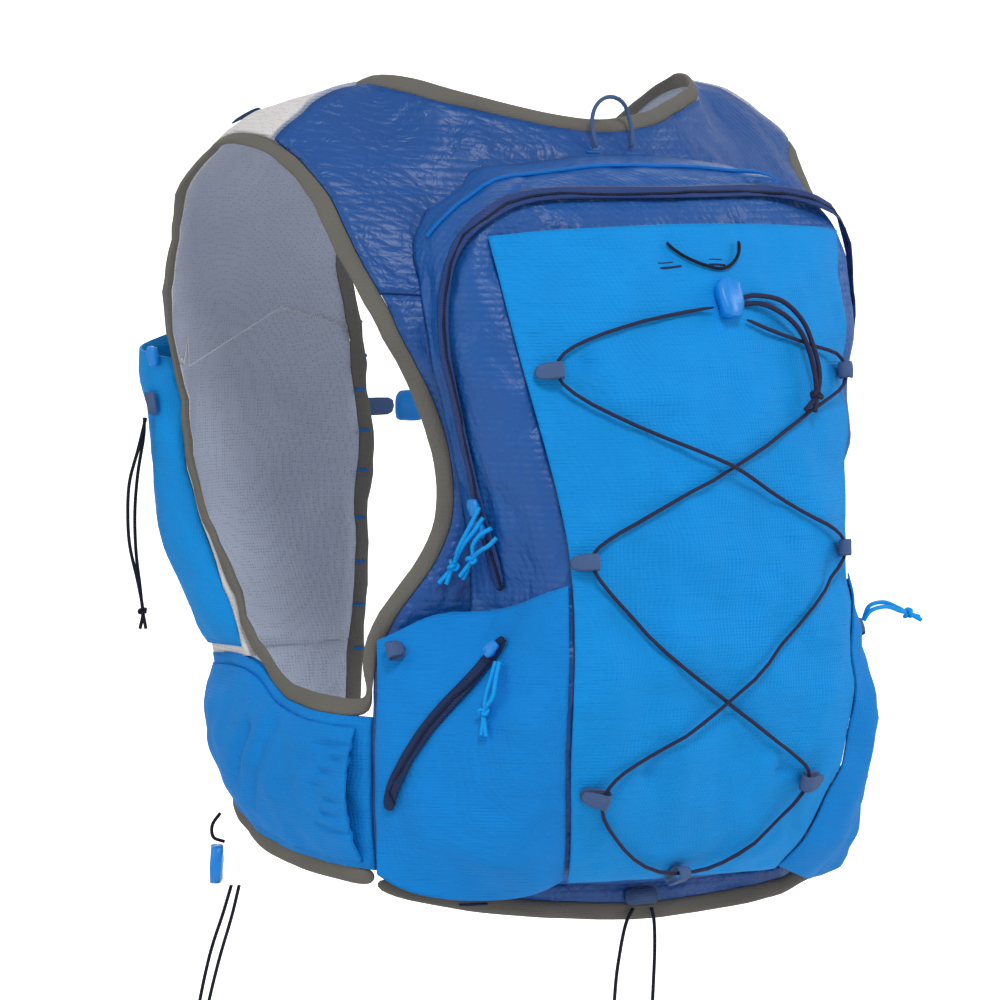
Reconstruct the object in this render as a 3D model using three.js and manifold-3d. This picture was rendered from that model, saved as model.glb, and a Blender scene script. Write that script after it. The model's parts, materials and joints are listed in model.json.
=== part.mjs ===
// Running hydration vest in the shape it has when worn, in millimetres.
// X points to the wearer's right, Y the way the wearer faces, Z up.
// The origin is where the vest sits on the wearer: midway between the tops of its two shoulder straps.
import * as THREE from 'three';
import { mergeVertices } from 'three/addons/utils/BufferGeometryUtils.js';
import Module from 'manifold-3d';

const wasm = await Module();
wasm.setup();

// Driving dimensions of the worn shape
const HALF_WIDTH = 160;
const HALF_DEPTH = 100;
const HEIGHT = 400;
const PACK_DEPTH = 80;
const CHEST_CROWN = 8;
const BACK_DISH = 8;

// Walls, edges and clearances
const PANEL_WALL = 2;
const SHELL_WALL = 1.2;
const POCKET_WALL = 1.2;
const BINDING_WIDTH = 8;
const BINDING_THICKNESS = 3.4;
const GAP = 0.5;
const POCKET_GAP = 0.8;
const BINDING_GAP = 0.7;
const SEAM_GAP = 0.9;
const SIDE_SEAM_GAP = 2.4;

// Slack of the pockets: how far each stands off what it is sewn to
const STRETCH_POCKET_SLACK = 11;
const HIP_POCKET_SLACK = 17;
const WING_POCKET_SLACK = 12;
const BOTTLE_POCKET_SLACK = 24;

// Zips, cords, webbing and hardware
const MAIN_ZIP_WIDTH = 8.5;
const HIP_ZIP_WIDTH = 8;
const ZIP_THICKNESS = 1.2;
const ZIP_SEAT = 1.1;
const SLIDER = { length: 9, width: 7, thickness: 3 };
const CORD = 2.5;
const PULL_CORD = 2.2;
const THIN_CORD = 1.8;
const KNOT = 6.5;
const WEBBING = { width: 9, thickness: 1 };
const LACE_EYE = 3.2;
const STERNUM_WIDTH = 10;
const BUCKLE = { length: 17, width: 16, thickness: 4 };
const CORD_LOCK = { length: 20, width: 14, thickness: 7 };
const HOOK = { length: 10, width: 6, thickness: 4 };
const BOTTLE_TAB = { length: 11, width: 8, thickness: 1.5 };
const HEM_TAB = { length: 8, width: 20, thickness: 1.5 };

// How finely the sheets and routes are divided: columns and rows, or steps
const GRID = {
  yoke: [18, 5], back: [12, 12], pack: [18, 14], stretch: [10, 10], front: [7, 12], wing: [14, 4],
  hip: [8, 8], wingPocket: [9, 5], bottle: [7, 7],
};
const MAIN_ZIP_STEPS = 40;
const HIP_ZIP_STEPS = 14;
const LACING_STEPS = 62;
const CORD_SIDES = 8;
const SETTLING_ROUNDS = 3;
const SAMPLES = [0, 0.25, 0.5, 0.75, 1].flatMap((along) => [-0.5, -0.25, 0, 0.25, 0.5].map((across) => [along, across]));

// Derived sizes
const PACK_HALF_WIDTH = 0.75 * HALF_WIDTH;
const BACK_PLANE = 0.9 * HALF_DEPTH;
const OVER_BINDING = (BINDING_THICKNESS - PANEL_WALL) / 2 + GAP;
const STRAP_LIFT = OVER_BINDING + GAP;

// Edges of the panels on one side. Columns: out is a share of HALF_WIDTH, fore of HALF_DEPTH, drop of HEIGHT.
const SHOULDER_SEAM = [
  // out, fore, drop: neck end to armhole end
  [0.637, 0.00, 0.012],
  [0.800, -0.02, 0.030],
  [0.963, -0.05, 0.078],
];
const NECKLINE = [
  // out, fore, drop: shoulder to the middle of the back
  [0.637, 0.00, 0.012],
  [0.487, -0.38, 0.035],
  [0.337, -0.55, 0.052],
  [0.175, -0.65, 0.067],
  [0.000, -0.68, 0.075],
];
const YOKE_SIDE = [
  // out, fore, drop: shoulder down the armhole
  [0.963, -0.05, 0.078],
  [0.916, -0.20, 0.105],
  [0.909, -0.44, 0.155],
  [0.881, -0.62, 0.222],
  [0.863, -0.76, 0.265],
];
const YOKE_FOOT = [
  // out, fore, drop: armhole to the middle of the back
  [0.863, -0.76, 0.265],
  [0.625, -0.93, 0.272],
  [0.312, -1.01, 0.277],
  [0.000, -1.04, 0.280],
];
const BACK_SIDE = [
  // out, fore, drop: yoke down the armhole and the side seam to the hem
  [0.863, -0.76, 0.265],
  [0.819, -0.83, 0.312],
  [0.747, -0.86, 0.372],
  [0.669, -0.88, 0.447],
  [0.641, -0.89, 0.515],
  [0.662, -0.90, 0.555],
  [0.700, -0.88, 0.592],
  [0.775, -0.84, 0.625],
  [0.831, -0.79, 0.655],
  [0.869, -0.74, 0.687],
  [0.881, -0.73, 0.735],
  [0.881, -0.73, 0.862],
  [0.875, -0.73, 0.970],
];
const BACK_HEM = [
  // out, fore, drop: side seam to the middle of the back
  [0.875, -0.73, 0.970],
  [0.687, -0.86, 0.990],
  [0.375, -1.03, 1.007],
  [0.000, -1.07, 1.015],
];
const FRONT_EDGE = [
  // out, fore, drop: shoulder down the front opening
  [0.637, 0.00, 0.012],
  [0.606, 0.32, 0.035],
  [0.519, 0.60, 0.105],
  [0.369, 0.86, 0.235],
  [0.294, 0.95, 0.337],
  [0.231, 0.99, 0.425],
  [0.219, 1.01, 0.500],
  [0.231, 1.02, 0.600],
  [0.262, 0.99, 0.720],
];
const FRONT_ARMHOLE = [
  // out, fore, drop: shoulder down the armhole
  [0.963, -0.05, 0.078],
  [0.981, 0.20, 0.065],
  [0.987, 0.48, 0.092],
  [0.981, 0.66, 0.125],
  [0.969, 0.84, 0.200],
  [0.950, 0.92, 0.267],
  [0.937, 0.93, 0.340],
  [0.919, 0.91, 0.415],
  [0.894, 0.79, 0.535],
  [0.894, 0.68, 0.587],
  [0.894, 0.55, 0.640],
  [0.912, 0.28, 0.720],
];
const FRONT_FOOT = [
  // out, fore, drop: front opening to the armhole
  [0.262, 0.99, 0.720],
  [0.562, 1.06, 0.727],
  [0.812, 0.84, 0.725],
  [0.912, 0.28, 0.720],
];
const WING_TOP = [
  // out, fore, drop: front opening, under the armhole, to the side seam
  ...FRONT_FOOT,
  [0.925, 0.10, 0.747],
  [0.931, -0.07, 0.765],
  [0.931, -0.33, 0.775],
  [0.912, -0.53, 0.780],
  [0.881, -0.73, 0.780],
];
const WING_HEM = [
  // out, fore, drop: front opening to the side seam
  [0.325, 0.93, 0.850],
  [0.594, 0.98, 0.865],
  [0.781, 0.76, 0.895],
  [0.862, 0.46, 0.925],
  [0.900, -0.07, 0.952],
  [0.894, -0.51, 0.962],
  [0.875, -0.73, 0.965],
];
const WING_FRONT = [
  // out, fore, drop: down the front opening
  [0.262, 0.99, 0.720],
  [0.287, 0.97, 0.790],
  [0.325, 0.93, 0.850],
];
const WING_REAR = [
  // out, fore, drop: down the side seam
  [0.881, -0.73, 0.780],
  [0.881, -0.73, 0.870],
  [0.875, -0.73, 0.965],
];

// Sections of the pack from its top edge to its bottom edge. Columns: the drop at the root and in the middle
// as shares of HEIGHT, half widths as shares of PACK_HALF_WIDTH, rises as shares of PACK_DEPTH.
const PACK_SECTIONS = [
  // rootDrop, midDrop, rootOut, zipOut, zipRise, edgeOut, edgeRise, midRise
  [0.110, 0.092, 0.81, 0.71, -0.20, 0.50, -0.14, -0.10],
  [0.142, 0.127, 0.93, 0.77, 0.20, 0.56, 0.25, 0.26],
  [0.197, 0.197, 1.02, 0.94, 0.21, 0.87, 0.32, 0.49],
  [0.280, 0.280, 0.99, 1.02, 0.23, 0.84, 0.46, 0.65],
  [0.375, 0.375, 0.94, 0.97, 0.25, 0.80, 0.59, 0.79],
  [0.475, 0.475, 0.83, 0.88, 0.27, 0.73, 0.70, 0.88],
  [0.580, 0.580, 0.78, 0.79, 0.32, 0.68, 0.80, 0.92],
  [0.675, 0.675, 0.79, 0.77, 0.37, 0.69, 0.86, 0.92],
  [0.775, 0.775, 0.83, 0.81, 0.40, 0.70, 0.86, 0.88],
  [0.865, 0.865, 0.86, 0.81, 0.35, 0.66, 0.74, 0.77],
  [0.945, 0.950, 0.87, 0.78, 0.25, 0.57, 0.57, 0.60],
  [0.978, 0.988, 0.85, 0.73, 0.13, 0.50, 0.32, 0.36],
  [0.984, 1.000, 0.82, 0.70, -0.20, 0.48, -0.14, -0.10],
];
// Where a section's named points stand on its way from the middle to the root
const EDGE_STATION = 0.5;
const ZIP_STATION = 0.78;
const POCKET_TOP_ROW = 2;
const POCKET_BOTTOM_ROW = 10.6;

// Edges of a hip pocket, by the same columns as the panels' edges
const HIP_TOP = [
  // out, fore, drop: side seam to the edge of the stretch pocket
  [0.894, -0.78, 0.685],
  [0.812, -0.87, 0.667],
  [0.737, -0.91, 0.652],
  [0.625, -1.08, 0.650],
  [0.590, -1.32, 0.637],
  [0.555, -1.47, 0.622],
  [0.528, -1.57, 0.612],
];
const HIP_BOTTOM = [
  // out, fore, drop: side seam to the edge of the stretch pocket
  [0.900, -0.79, 0.970],
  [0.819, -0.90, 0.992],
  [0.625, -1.05, 1.003],
  [0.500, -1.25, 0.993],
  [0.412, -1.34, 0.975],
];
const HIP_REAR = [
  // out, fore, drop: down the side seam
  [0.894, -0.78, 0.685],
  [0.906, -0.79, 0.780],
  [0.906, -0.79, 0.870],
  [0.900, -0.79, 0.970],
];

// Middle lines of the zips on one side, by the same columns as the panels' edges
const MAIN_ZIP = [
  // out, fore, drop: lower end, up the side of the pack, to the middle of its top
  [0.585, -1.15, 0.628],
  [0.637, -1.07, 0.515],
  [0.720, -1.06, 0.393],
  [0.765, -1.06, 0.307],
  [0.745, -1.06, 0.240],
  [0.702, -1.10, 0.195],
  [0.600, -1.14, 0.160],
  [0.440, -1.12, 0.146],
  [0.220, -1.15, 0.145],
  [0.000, -1.17, 0.146],
];
const HIP_ZIP = [
  // out, fore, drop: upper end to lower end
  [0.639, -1.30, 0.678],
  [0.709, -1.20, 0.726],
  [0.772, -1.13, 0.758],
  [0.832, -1.07, 0.790],
  [0.878, -1.00, 0.827],
  [0.895, -0.92, 0.867],
  [0.897, -0.89, 0.891],
];

// The lacing over the stretch pocket, in order: out and drop as before, then its height above the pocket.
// It lies low, rises through the eyes of its loops, and passes over itself twice.
const LOW = CORD / 2 + 2.8 * GAP;
const EYE = 2 * GAP + WEBBING.thickness + LACE_EYE;
const RISING = LOW + 0.4 * CORD;
const OVER = LOW + 1.3 * CORD;
const LACING = [
  // out, drop, height
  [0.110, 0.300, LOW],
  [0.230, 0.317, LOW],
  [0.410, 0.338, LOW],
  [0.510, 0.349, EYE],
  [0.514, 0.383, EYE],
  [0.420, 0.400, LOW],
  [0.240, 0.432, LOW],
  [0.010, 0.474, LOW],
  [-0.200, 0.513, LOW],
  [-0.370, 0.548, LOW],
  [-0.467, 0.573, EYE],
  [-0.467, 0.599, EYE],
  [-0.380, 0.642, LOW],
  [-0.235, 0.704, LOW],
  [-0.010, 0.758, LOW],
  [0.180, 0.808, LOW],
  [0.290, 0.832, LOW],
  [0.343, 0.849, EYE],
  [0.338, 0.875, EYE],
  [0.240, 0.925, LOW],
  [0.110, 0.960, EYE],
  [-0.030, 0.967, EYE],
  [-0.180, 0.958, EYE],
  [-0.330, 0.922, LOW],
  [-0.411, 0.881, EYE],
  [-0.413, 0.855, EYE],
  [-0.340, 0.834, LOW],
  [-0.180, 0.803, RISING],
  [0.000, 0.755, OVER],
  [0.150, 0.705, RISING],
  [0.340, 0.632, LOW],
  [0.438, 0.598, EYE],
  [0.440, 0.568, EYE],
  [0.350, 0.550, LOW],
  [0.180, 0.516, RISING],
  [0.010, 0.480, OVER],
  [-0.160, 0.450, RISING],
  [-0.410, 0.406, LOW],
  [-0.526, 0.370, EYE],
  [-0.526, 0.344, EYE],
  [-0.430, 0.320, LOW],
  [-0.250, 0.300, LOW],
  [0.004, 0.284, LOW],
];
const LACE_LOOPS = [
  // name, out, drop, the way to its seam across and down
  ['left_top', -0.526, 0.357, -1, 0],
  ['left_middle', -0.467, 0.586, -1, 0],
  ['left_low', -0.412, 0.868, -1, 0],
  ['right_top', 0.514, 0.366, 1, 0],
  ['right_middle', 0.439, 0.581, 1, 0],
  ['right_low', 0.341, 0.862, 1, 0],
  ['bottom', -0.030, 0.967, 0, 1],
];

// Free cords, each point chosen by hand in millimetres. The strands of one cord share the knot, their last
// point but one, and end in short tails.
const MAIN_PULLS = {
  upper: [
    [[-107.3, -114, -209], [-110, -111, -217], [-111.8, -103, -229], [-111, -97, -238], [-115.5, -91.5, -246.5]],
    [[-106.6, -116, -214], [-109, -112, -220.5], [-110.5, -104.5, -228], [-111, -97, -238], [-113, -94, -247]],
  ],
  lower: [
    [[-104.5, -120, -219], [-107.5, -114.5, -222.5], [-108.5, -110, -228], [-107, -107.5, -234.3], [-110.2, -101.5, -243]],
    [[-102.8, -122, -223.5], [-105.5, -119, -227.5], [-107, -114.5, -230], [-107, -107.5, -234.3], [-107.8, -101, -244.3]],
  ],
};
const HIP_PULLS = {
  left: [
    [[-110.3, -132, -282.5], [-113.2, -132.5, -290], [-116, -132, -299], [-117, -132, -306.5], [-119, -132.5, -317.5]],
    [[-109.8, -134.5, -282.5], [-112.5, -135.5, -290], [-115.2, -136.5, -299], [-117, -132, -306.5], [-118, -135, -318]],
  ],
  right: [
    [[112, -131.5, -271], [113.5, -134.5, -264], [122, -135, -262.5], [130.5, -135.5, -265.5], [136.5, -136, -268.5],
      [143.5, -136, -270.5]],
    [[110, -134.5, -271], [112, -138, -266], [121, -138.5, -264.5], [130, -138, -267], [136.5, -136, -268.5],
      [143, -138.5, -272]],
  ],
};
const BUNGEE_TAILS = [
  [[17.5, -157, -109], [27, -158, -108], [43, -156.5, -111], [54, -157.5, -120], [58.5, -160, -131], [61, -163, -146],
    [57, -166, -157], [49.5, -167, -164]],
  [[17.5, -156.5, -112.5], [29, -158, -112], [42, -158, -117], [51, -158.5, -124], [55.5, -160.5, -133],
    [58, -163, -146], [57, -166, -157], [54.5, -168, -165]],
];
const BOTTLE_CORDS = [
  [[-153.8, 112, -173], [-156, 115.5, -188.5], [-158, 120.5, -205], [-158.5, 121.5, -221], [-158, 120.5, -237.5],
    [-155.5, 117, -255.5], [-154, 114.8, -270], [-154.6, 116.5, -279]],
  [[-153.3, 114, -173], [-153.2, 115, -183], [-153.5, 120, -201.5], [-154, 122, -221], [-154, 121, -240.5],
    [-154, 117.5, -257], [-154, 114.8, -270], [-153, 113.5, -279]],
];
const WING_CORDS = [
  [[-139, 57, -404], [-142, 60, -418], [-147, 65, -440], [-151, 70, -470], [-151.5, 71, -490], [-151, 71, -508],
    [-152, 73, -517]],
  [[-136, 54.5, -404], [-139, 57, -420], [-144, 61.5, -443], [-148, 67, -470], [-150, 70, -490], [-151, 71, -508],
    [-150, 70, -518]],
];
const WING_CORD_LOOP = [[-143.5, 60, -368], [-147, 62, -374], [-147, 61, -380], [-142, 58.5, -382.3]];
const TAB_CORDS = {
  left: [[-14, -111.5, -409], [-19, -112.5, -416], [-23, -113, -430], [-26, -113, -450], [-27.5, -112.5, -490],
    [-28, -112, -526], [-28, -112, -536]],
  right: [[-3, -111.5, -409], [-2, -112.5, -416], [-2, -113, -430], [-3, -113, -450], [-5, -112.5, -490],
    [-6, -112, -530], [-6, -112, -540]],
};
const HANG_LOOP = [[-11, -76, -37], [-12.5, -75, -28], [-11, -73.5, -18], [-5, -72.8, -12.5], [0, -72.6, -11.5],
  [5, -72.8, -12.5], [11, -73.5, -18], [12.5, -75, -28], [11, -76, -37]];

// The lacing's cord lock and its tether on the stretch pocket. Columns: out and drop as before.
const LOCK_SPOT = [0.058, 0.275];
const LOCK_TETHER = [
  [-0.106, 0.206], [-0.060, 0.222], [0.020, 0.236], [0.058, 0.239], [0.100, 0.236], [0.150, 0.222], [0.165, 0.206],
];

const RIGHT = new THREE.Vector3(1, 0, 0);
const FORWARD = new THREE.Vector3(0, 1, 0);
const UP = new THREE.Vector3(0, 0, 1);
const point = (out, fore, drop, side = 1) =>
  new THREE.Vector3(side * out * HALF_WIDTH, fore * HALF_DEPTH, -drop * HEIGHT);
const curve = (rows, side = 1) =>
  new THREE.CatmullRomCurve3(rows.map((row) => point(...row, side)), false, 'centripetal');
const mirrored = (rows) => new THREE.CatmullRomCurve3([
  ...rows.map((row) => point(...row, -1)),
  ...rows.slice(0, -1).reverse().map((row) => point(...row, 1)),
], false, 'centripetal');
const mix = THREE.MathUtils.lerp;
const hump = (t, power = 1) => Math.sin(Math.PI * THREE.MathUtils.clamp(t, 0, 1)) ** power;

// A closed body from vertices and triangles, turned so that its faces point out
function body(vertices, triangles) {
  let volume = 0;
  for (const [a, b, c] of triangles) {
    volume += vertices[a].dot(new THREE.Vector3().crossVectors(vertices[b], vertices[c]));
  }
  const index = volume < 0 ? triangles.map(([a, b, c]) => [a, c, b]) : triangles;
  const geometry = new THREE.BufferGeometry().setFromPoints(vertices);
  geometry.setIndex(index.flat());
  geometry.computeVertexNormals();
  return geometry;
}

// A body through rings of points, closed on itself or capped at both ends
function loft(rings, closed = false) {
  const sides = rings[0].length;
  const spans = closed ? rings.length : rings.length - 1;
  const vertices = rings.flat();
  const triangles = [];
  for (let ring = 0; ring < spans; ring++) {
    const here = ring * sides;
    const next = ((ring + 1) % rings.length) * sides;
    for (let k = 0; k < sides; k++) {
      const turn = (k + 1) % sides;
      triangles.push([here + k, here + turn, next + turn], [here + k, next + turn, next + k]);
    }
  }
  if (!closed) {
    const last = (rings.length - 1) * sides;
    for (let k = 1; k < sides - 1; k++) {
      triangles.push([0, k + 1, k], [last, last + k, last + k + 1]);
    }
  }
  return body(vertices, triangles);
}

// A four-sided patch between four edges: top and foot run across, left and right run down
function patch(top, foot, left, right) {
  const corners = [top.getPoint(0), top.getPoint(1), foot.getPoint(0), foot.getPoint(1)];
  return (u, v) => {
    const across = top.getPointAt(u).multiplyScalar(1 - v).addScaledVector(foot.getPointAt(u), v);
    const down = left.getPointAt(v).multiplyScalar(1 - u).addScaledVector(right.getPointAt(v), u);
    const weights = [(1 - u) * (1 - v), u * (1 - v), (1 - u) * v, u * v];
    corners.forEach((corner, k) => across.addScaledVector(corner, -weights[k]));
    return across.add(down);
  };
}

// A cloth wall: a grid of points on its outer face and a second face one wall further in.
// Where it comes near the sheets that carry it, both faces keep clear of them.
class Sheet {
  constructor(surface, columns, rows, wall, carriers = [], clearance = POCKET_GAP) {
    this.columns = columns;
    this.rows = rows;
    this.wall = wall;
    this.outer = [];
    for (let j = 0; j <= rows; j++) {
      for (let i = 0; i <= columns; i++) {
        this.outer.push(surface(i / columns, j / rows));
      }
    }
    this.orient();
    this.outer = this.settled(this.outer, carriers, clearance + wall);
    this.orient();
    const under = this.outer.map((p, k) => p.clone().addScaledVector(this.normals[k], -wall));
    this.inner = this.settled(under, carriers, clearance);
    this.facets = this.faces(0).map(([a, b, c]) => {
      const facet = new THREE.Triangle(this.outer[a], this.outer[b], this.outer[c]);
      return { facet, normal: facet.getNormal(new THREE.Vector3()), reach: this.outer[a].distanceTo(this.outer[c]) };
    });
  }

  vertex(i, j) {
    return j * (this.columns + 1) + i;
  }

  // Places moved until they, and the middles of the facets and edges between them, stand clear of the carriers
  settled(from, carriers, height) {
    if (!carriers.length) return from;
    let places = from.map((p) => keepClear(p, carriers, height));
    for (let round = 0; round < SETTLING_ROUNDS; round++) {
      const lifts = places.map(() => new THREE.Vector3());
      for (const [a, b, c] of this.faces(0)) {
        for (const corners of [[a, b], [b, c], [c, a], [a, b, c]]) {
          const middle = corners.reduce((sum, k) => sum.add(places[k]), new THREE.Vector3()).divideScalar(corners.length);
          const lift = keepClear(middle, carriers, height).clone().sub(middle);
          for (const k of corners) {
            if (lift.lengthSq() > lifts[k].lengthSq()) lifts[k].copy(lift);
          }
        }
      }
      places = places.map((p, k) => p.clone().add(lifts[k]));
    }
    return places;
  }

  // Vertex normals that point away from the wearer
  orient() {
    const centre = new THREE.Vector3(0, 0, -HEIGHT / 2);
    this.turned = false;
    const normals = this.gridNormals();
    const vote = normals.reduce((sum, n, k) => sum + n.dot(this.outer[k].clone().sub(centre)), 0);
    this.turned = vote < 0;
    this.normals = this.turned ? normals.map((n) => n.negate()) : normals;
  }

  gridNormals() {
    const normals = [];
    for (let j = 0; j <= this.rows; j++) {
      for (let i = 0; i <= this.columns; i++) {
        const across = this.outer[this.vertex(Math.min(i + 1, this.columns), j)].clone()
          .sub(this.outer[this.vertex(Math.max(i - 1, 0), j)]);
        const down = this.outer[this.vertex(i, Math.min(j + 1, this.rows))].clone()
          .sub(this.outer[this.vertex(i, Math.max(j - 1, 0))]);
        normals.push(across.cross(down).normalize());
      }
    }
    return normals;
  }

  // Triangles of one face of the grid, numbered from a first vertex
  faces(first) {
    const triangles = [];
    for (let j = 0; j < this.rows; j++) {
      for (let i = 0; i < this.columns; i++) {
        const [a, b, c, d] = [
          this.vertex(i, j), this.vertex(i + 1, j), this.vertex(i + 1, j + 1), this.vertex(i, j + 1),
        ].map((k) => k + first);
        triangles.push(...(this.turned ? [[a, c, b], [a, d, c]] : [[a, b, c], [a, c, d]]));
      }
    }
    return triangles;
  }

  // The vertices of the rim in order, from the first corner across, down, back and up
  rim() {
    const ring = [];
    for (let i = 0; i < this.columns; i++) ring.push(this.vertex(i, 0));
    for (let j = 0; j < this.rows; j++) ring.push(this.vertex(this.columns, j));
    for (let i = this.columns; i > 0; i--) ring.push(this.vertex(i, this.rows));
    for (let j = this.rows; j > 0; j--) ring.push(this.vertex(0, j));
    return ring;
  }

  geometry() {
    const count = this.outer.length;
    const triangles = [...this.faces(0), ...this.faces(count).map(([a, b, c]) => [a, c, b])];
    const ring = this.rim();
    ring.forEach((k, n) => {
      const next = ring[(n + 1) % ring.length];
      const walls = [[k, k + count, next + count], [k, next + count, next]];
      triangles.push(...(this.turned ? walls.map(([a, b, c]) => [a, c, b]) : walls));
    });
    return body([...this.outer, ...this.inner], triangles);
  }

  // The nearest point of the outer face, with the facet's normal and the distance along it
  nearest(from) {
    const best = { distance: Infinity };
    const spot = new THREE.Vector3();
    for (const { facet, normal, reach } of this.facets) {
      if (facet.a.distanceTo(from) - 2 * reach > best.distance) continue;
      facet.closestPointToPoint(from, spot);
      const distance = spot.distanceTo(from);
      if (distance < best.distance) {
        Object.assign(best, { distance, spot: spot.clone(), normal });
      }
    }
    best.height = from.clone().sub(best.spot).dot(best.normal);
    return best;
  }

  // One edge as frames: the place on the rim, the way out of the sheet in its own surface, and the normal
  edge(name) {
    const steps = name === 'top' || name === 'foot' ? this.columns : this.rows;
    const frames = [];
    for (let k = 0; k <= steps; k++) {
      const [i, j] = { top: [k, 0], foot: [k, this.rows], left: [0, k], right: [this.columns, k] }[name];
      const [inI, inJ] = {
        top: [k, 1], foot: [k, this.rows - 1], left: [1, k], right: [this.columns - 1, k],
      }[name];
      const place = this.outer[this.vertex(i, j)];
      frames.push({ place, within: this.outer[this.vertex(inI, inJ)], normal: this.normals[this.vertex(i, j)] });
    }
    frames.forEach((frame, k) => {
      const along = frames[Math.min(k + 1, steps)].place.clone().sub(frames[Math.max(k - 1, 0)].place).normalize();
      const away = frame.place.clone().sub(frame.within);
      away.addScaledVector(along, -away.dot(along));
      frame.away = away.addScaledVector(frame.normal, -away.dot(frame.normal)).normalize();
      frame.wall = this.wall;
    });
    return frames;
  }
}

// A point moved out of any carrying sheet until it stands the given height above it
function keepClear(from, carriers, height) {
  let place = from;
  for (const carrier of carriers) {
    const hit = carrier.nearest(place);
    const beside = Math.sqrt(Math.max(hit.distance ** 2 - hit.height ** 2, 0));
    if (beside < SEAM_GAP && hit.height < height && hit.height > -BINDING_WIDTH) {
      place = place.clone().addScaledVector(hit.normal, height - hit.height);
    }
  }
  return place;
}

// A binding that wraps the edge of a sheet: rings of four points beyond the rim, thinner at the fold
function binding(frames, closed = false) {
  const half = BINDING_THICKNESS / 2;
  const section = [[0, -half], [0, half], [BINDING_WIDTH, 0.5 * half], [BINDING_WIDTH, -0.5 * half]];
  const rings = frames.map(({ place, away, normal, wall }) => section.map(([out, up]) =>
    place.clone().addScaledVector(away, BINDING_GAP + out).addScaledVector(normal, up - wall / 2)));
  return loft(rings, closed);
}

// A round body through a line of places, with its section carried along without twist
function roundLoft(line, diameter, sides) {
  const last = line.length - 1;
  let up = new THREE.Vector3(0, -1, 0);
  return loft(line.map((place, k) => {
    const along = line[Math.min(k + 1, last)].clone().sub(line[Math.max(k - 1, 0)]).normalize();
    up = up.clone().addScaledVector(along, -up.dot(along)).normalize();
    const side = along.clone().cross(up);
    return Array.from({ length: sides }, (_, n) => {
      const turn = 2 * Math.PI * n / sides;
      return place.clone().addScaledVector(up, Math.cos(turn) * diameter / 2)
        .addScaledVector(side, Math.sin(turn) * diameter / 2);
    });
  }));
}

// A mesh as a solid that can be joined to others
function solid(geometry) {
  const bare = geometry.clone();
  bare.deleteAttribute('normal');
  bare.deleteAttribute('uv');
  const merged = mergeVertices(bare, 1e-3);
  return new wasm.Manifold(new wasm.Mesh({
    numProp: 3,
    vertProperties: merged.attributes.position.array,
    triVerts: Uint32Array.from(merged.index.array),
  }));
}

function joined(geometries) {
  const whole = geometries.map(solid).reduce((sum, next) => sum.add(next)).getMesh();
  const geometry = new THREE.BufferGeometry();
  geometry.setAttribute('position', new THREE.BufferAttribute(Float32Array.from(whole.vertProperties), 3));
  geometry.setIndex([...whole.triVerts]);
  geometry.computeVertexNormals();
  return geometry;
}

// A round cord along a route
function cord(route, diameter, steps) {
  const section = new THREE.Shape(Array.from({ length: CORD_SIDES }, (_, k) => {
    const turn = 2 * Math.PI * k / CORD_SIDES;
    return new THREE.Vector2(Math.cos(turn), Math.sin(turn)).multiplyScalar(diameter / 2);
  }));
  const extrudePath = new THREE.CatmullRomCurve3(route, false, 'centripetal');
  return new THREE.ExtrudeGeometry(section, { steps, bevelEnabled: false, extrudePath });
}

function knot(place) {
  return new THREE.SphereGeometry(KNOT / 2, 6, 4).translate(...place);
}

// The strands of a cord with the knot that they share, as one body
function knotted(routes, steps, diameter) {
  const tubes = routes.map((route) => cord(route.map((p) => new THREE.Vector3(...p)), diameter, steps));
  return joined([...tubes, knot(routes[0].at(-2))]);
}

// A flat strip through frames that each hold a place under it and a normal
function strip(frames, width, thickness) {
  const last = frames.length - 1;
  return loft(frames.map(({ place, normal }, k) => {
    const along = frames[Math.min(k + 1, last)].place.clone().sub(frames[Math.max(k - 1, 0)].place);
    const side = along.cross(normal).normalize().multiplyScalar(width / 2);
    const low = [place.clone().sub(side), place.clone().add(side)];
    return [...low, ...low.map((p) => p.clone().addScaledVector(normal, thickness)).reverse()];
  }));
}

// Frames of a strip along a route on a sheet: both of its edges seated, then raised where the sheet comes through
function laidFrames(route, sheet, width, steps) {
  const hits = Array.from({ length: steps + 1 }, (_, k) => sheet.nearest(route.getPointAt(k / steps)));
  const frames = hits.map(({ spot, normal }, k) => {
    const along = hits[Math.min(k + 1, steps)].spot.clone().sub(hits[Math.max(k - 1, 0)].spot).normalize();
    const side = along.clone().cross(normal).normalize().multiplyScalar(width / 2);
    const [low, high] = [spot.clone().sub(side), spot.clone().add(side)].map((p) => sheet.nearest(p).spot);
    const flat = high.clone().sub(low).normalize();
    return { place: low.clone().add(high).multiplyScalar(0.5), normal: flat.cross(along).normalize() };
  });
  for (let round = 0; round < SETTLING_ROUNDS; round++) {
    const lifts = new Array(steps + 1).fill(0);
    for (let k = 0; k < steps; k++) {
      const [here, next] = [frames[k], frames[k + 1]];
      const side = next.place.clone().sub(here.place).cross(here.normal).normalize();
      for (const [along, across] of SAMPLES) {
        const under = here.place.clone().lerp(next.place, along).addScaledVector(side, across * width);
        const short = ZIP_SEAT - sheet.nearest(under).height;
        lifts[k] = Math.max(lifts[k], short);
        lifts[k + 1] = Math.max(lifts[k + 1], short);
      }
    }
    frames.forEach(({ place, normal }, k) => place.addScaledVector(normal, lifts[k]));
  }
  return frames;
}

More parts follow.
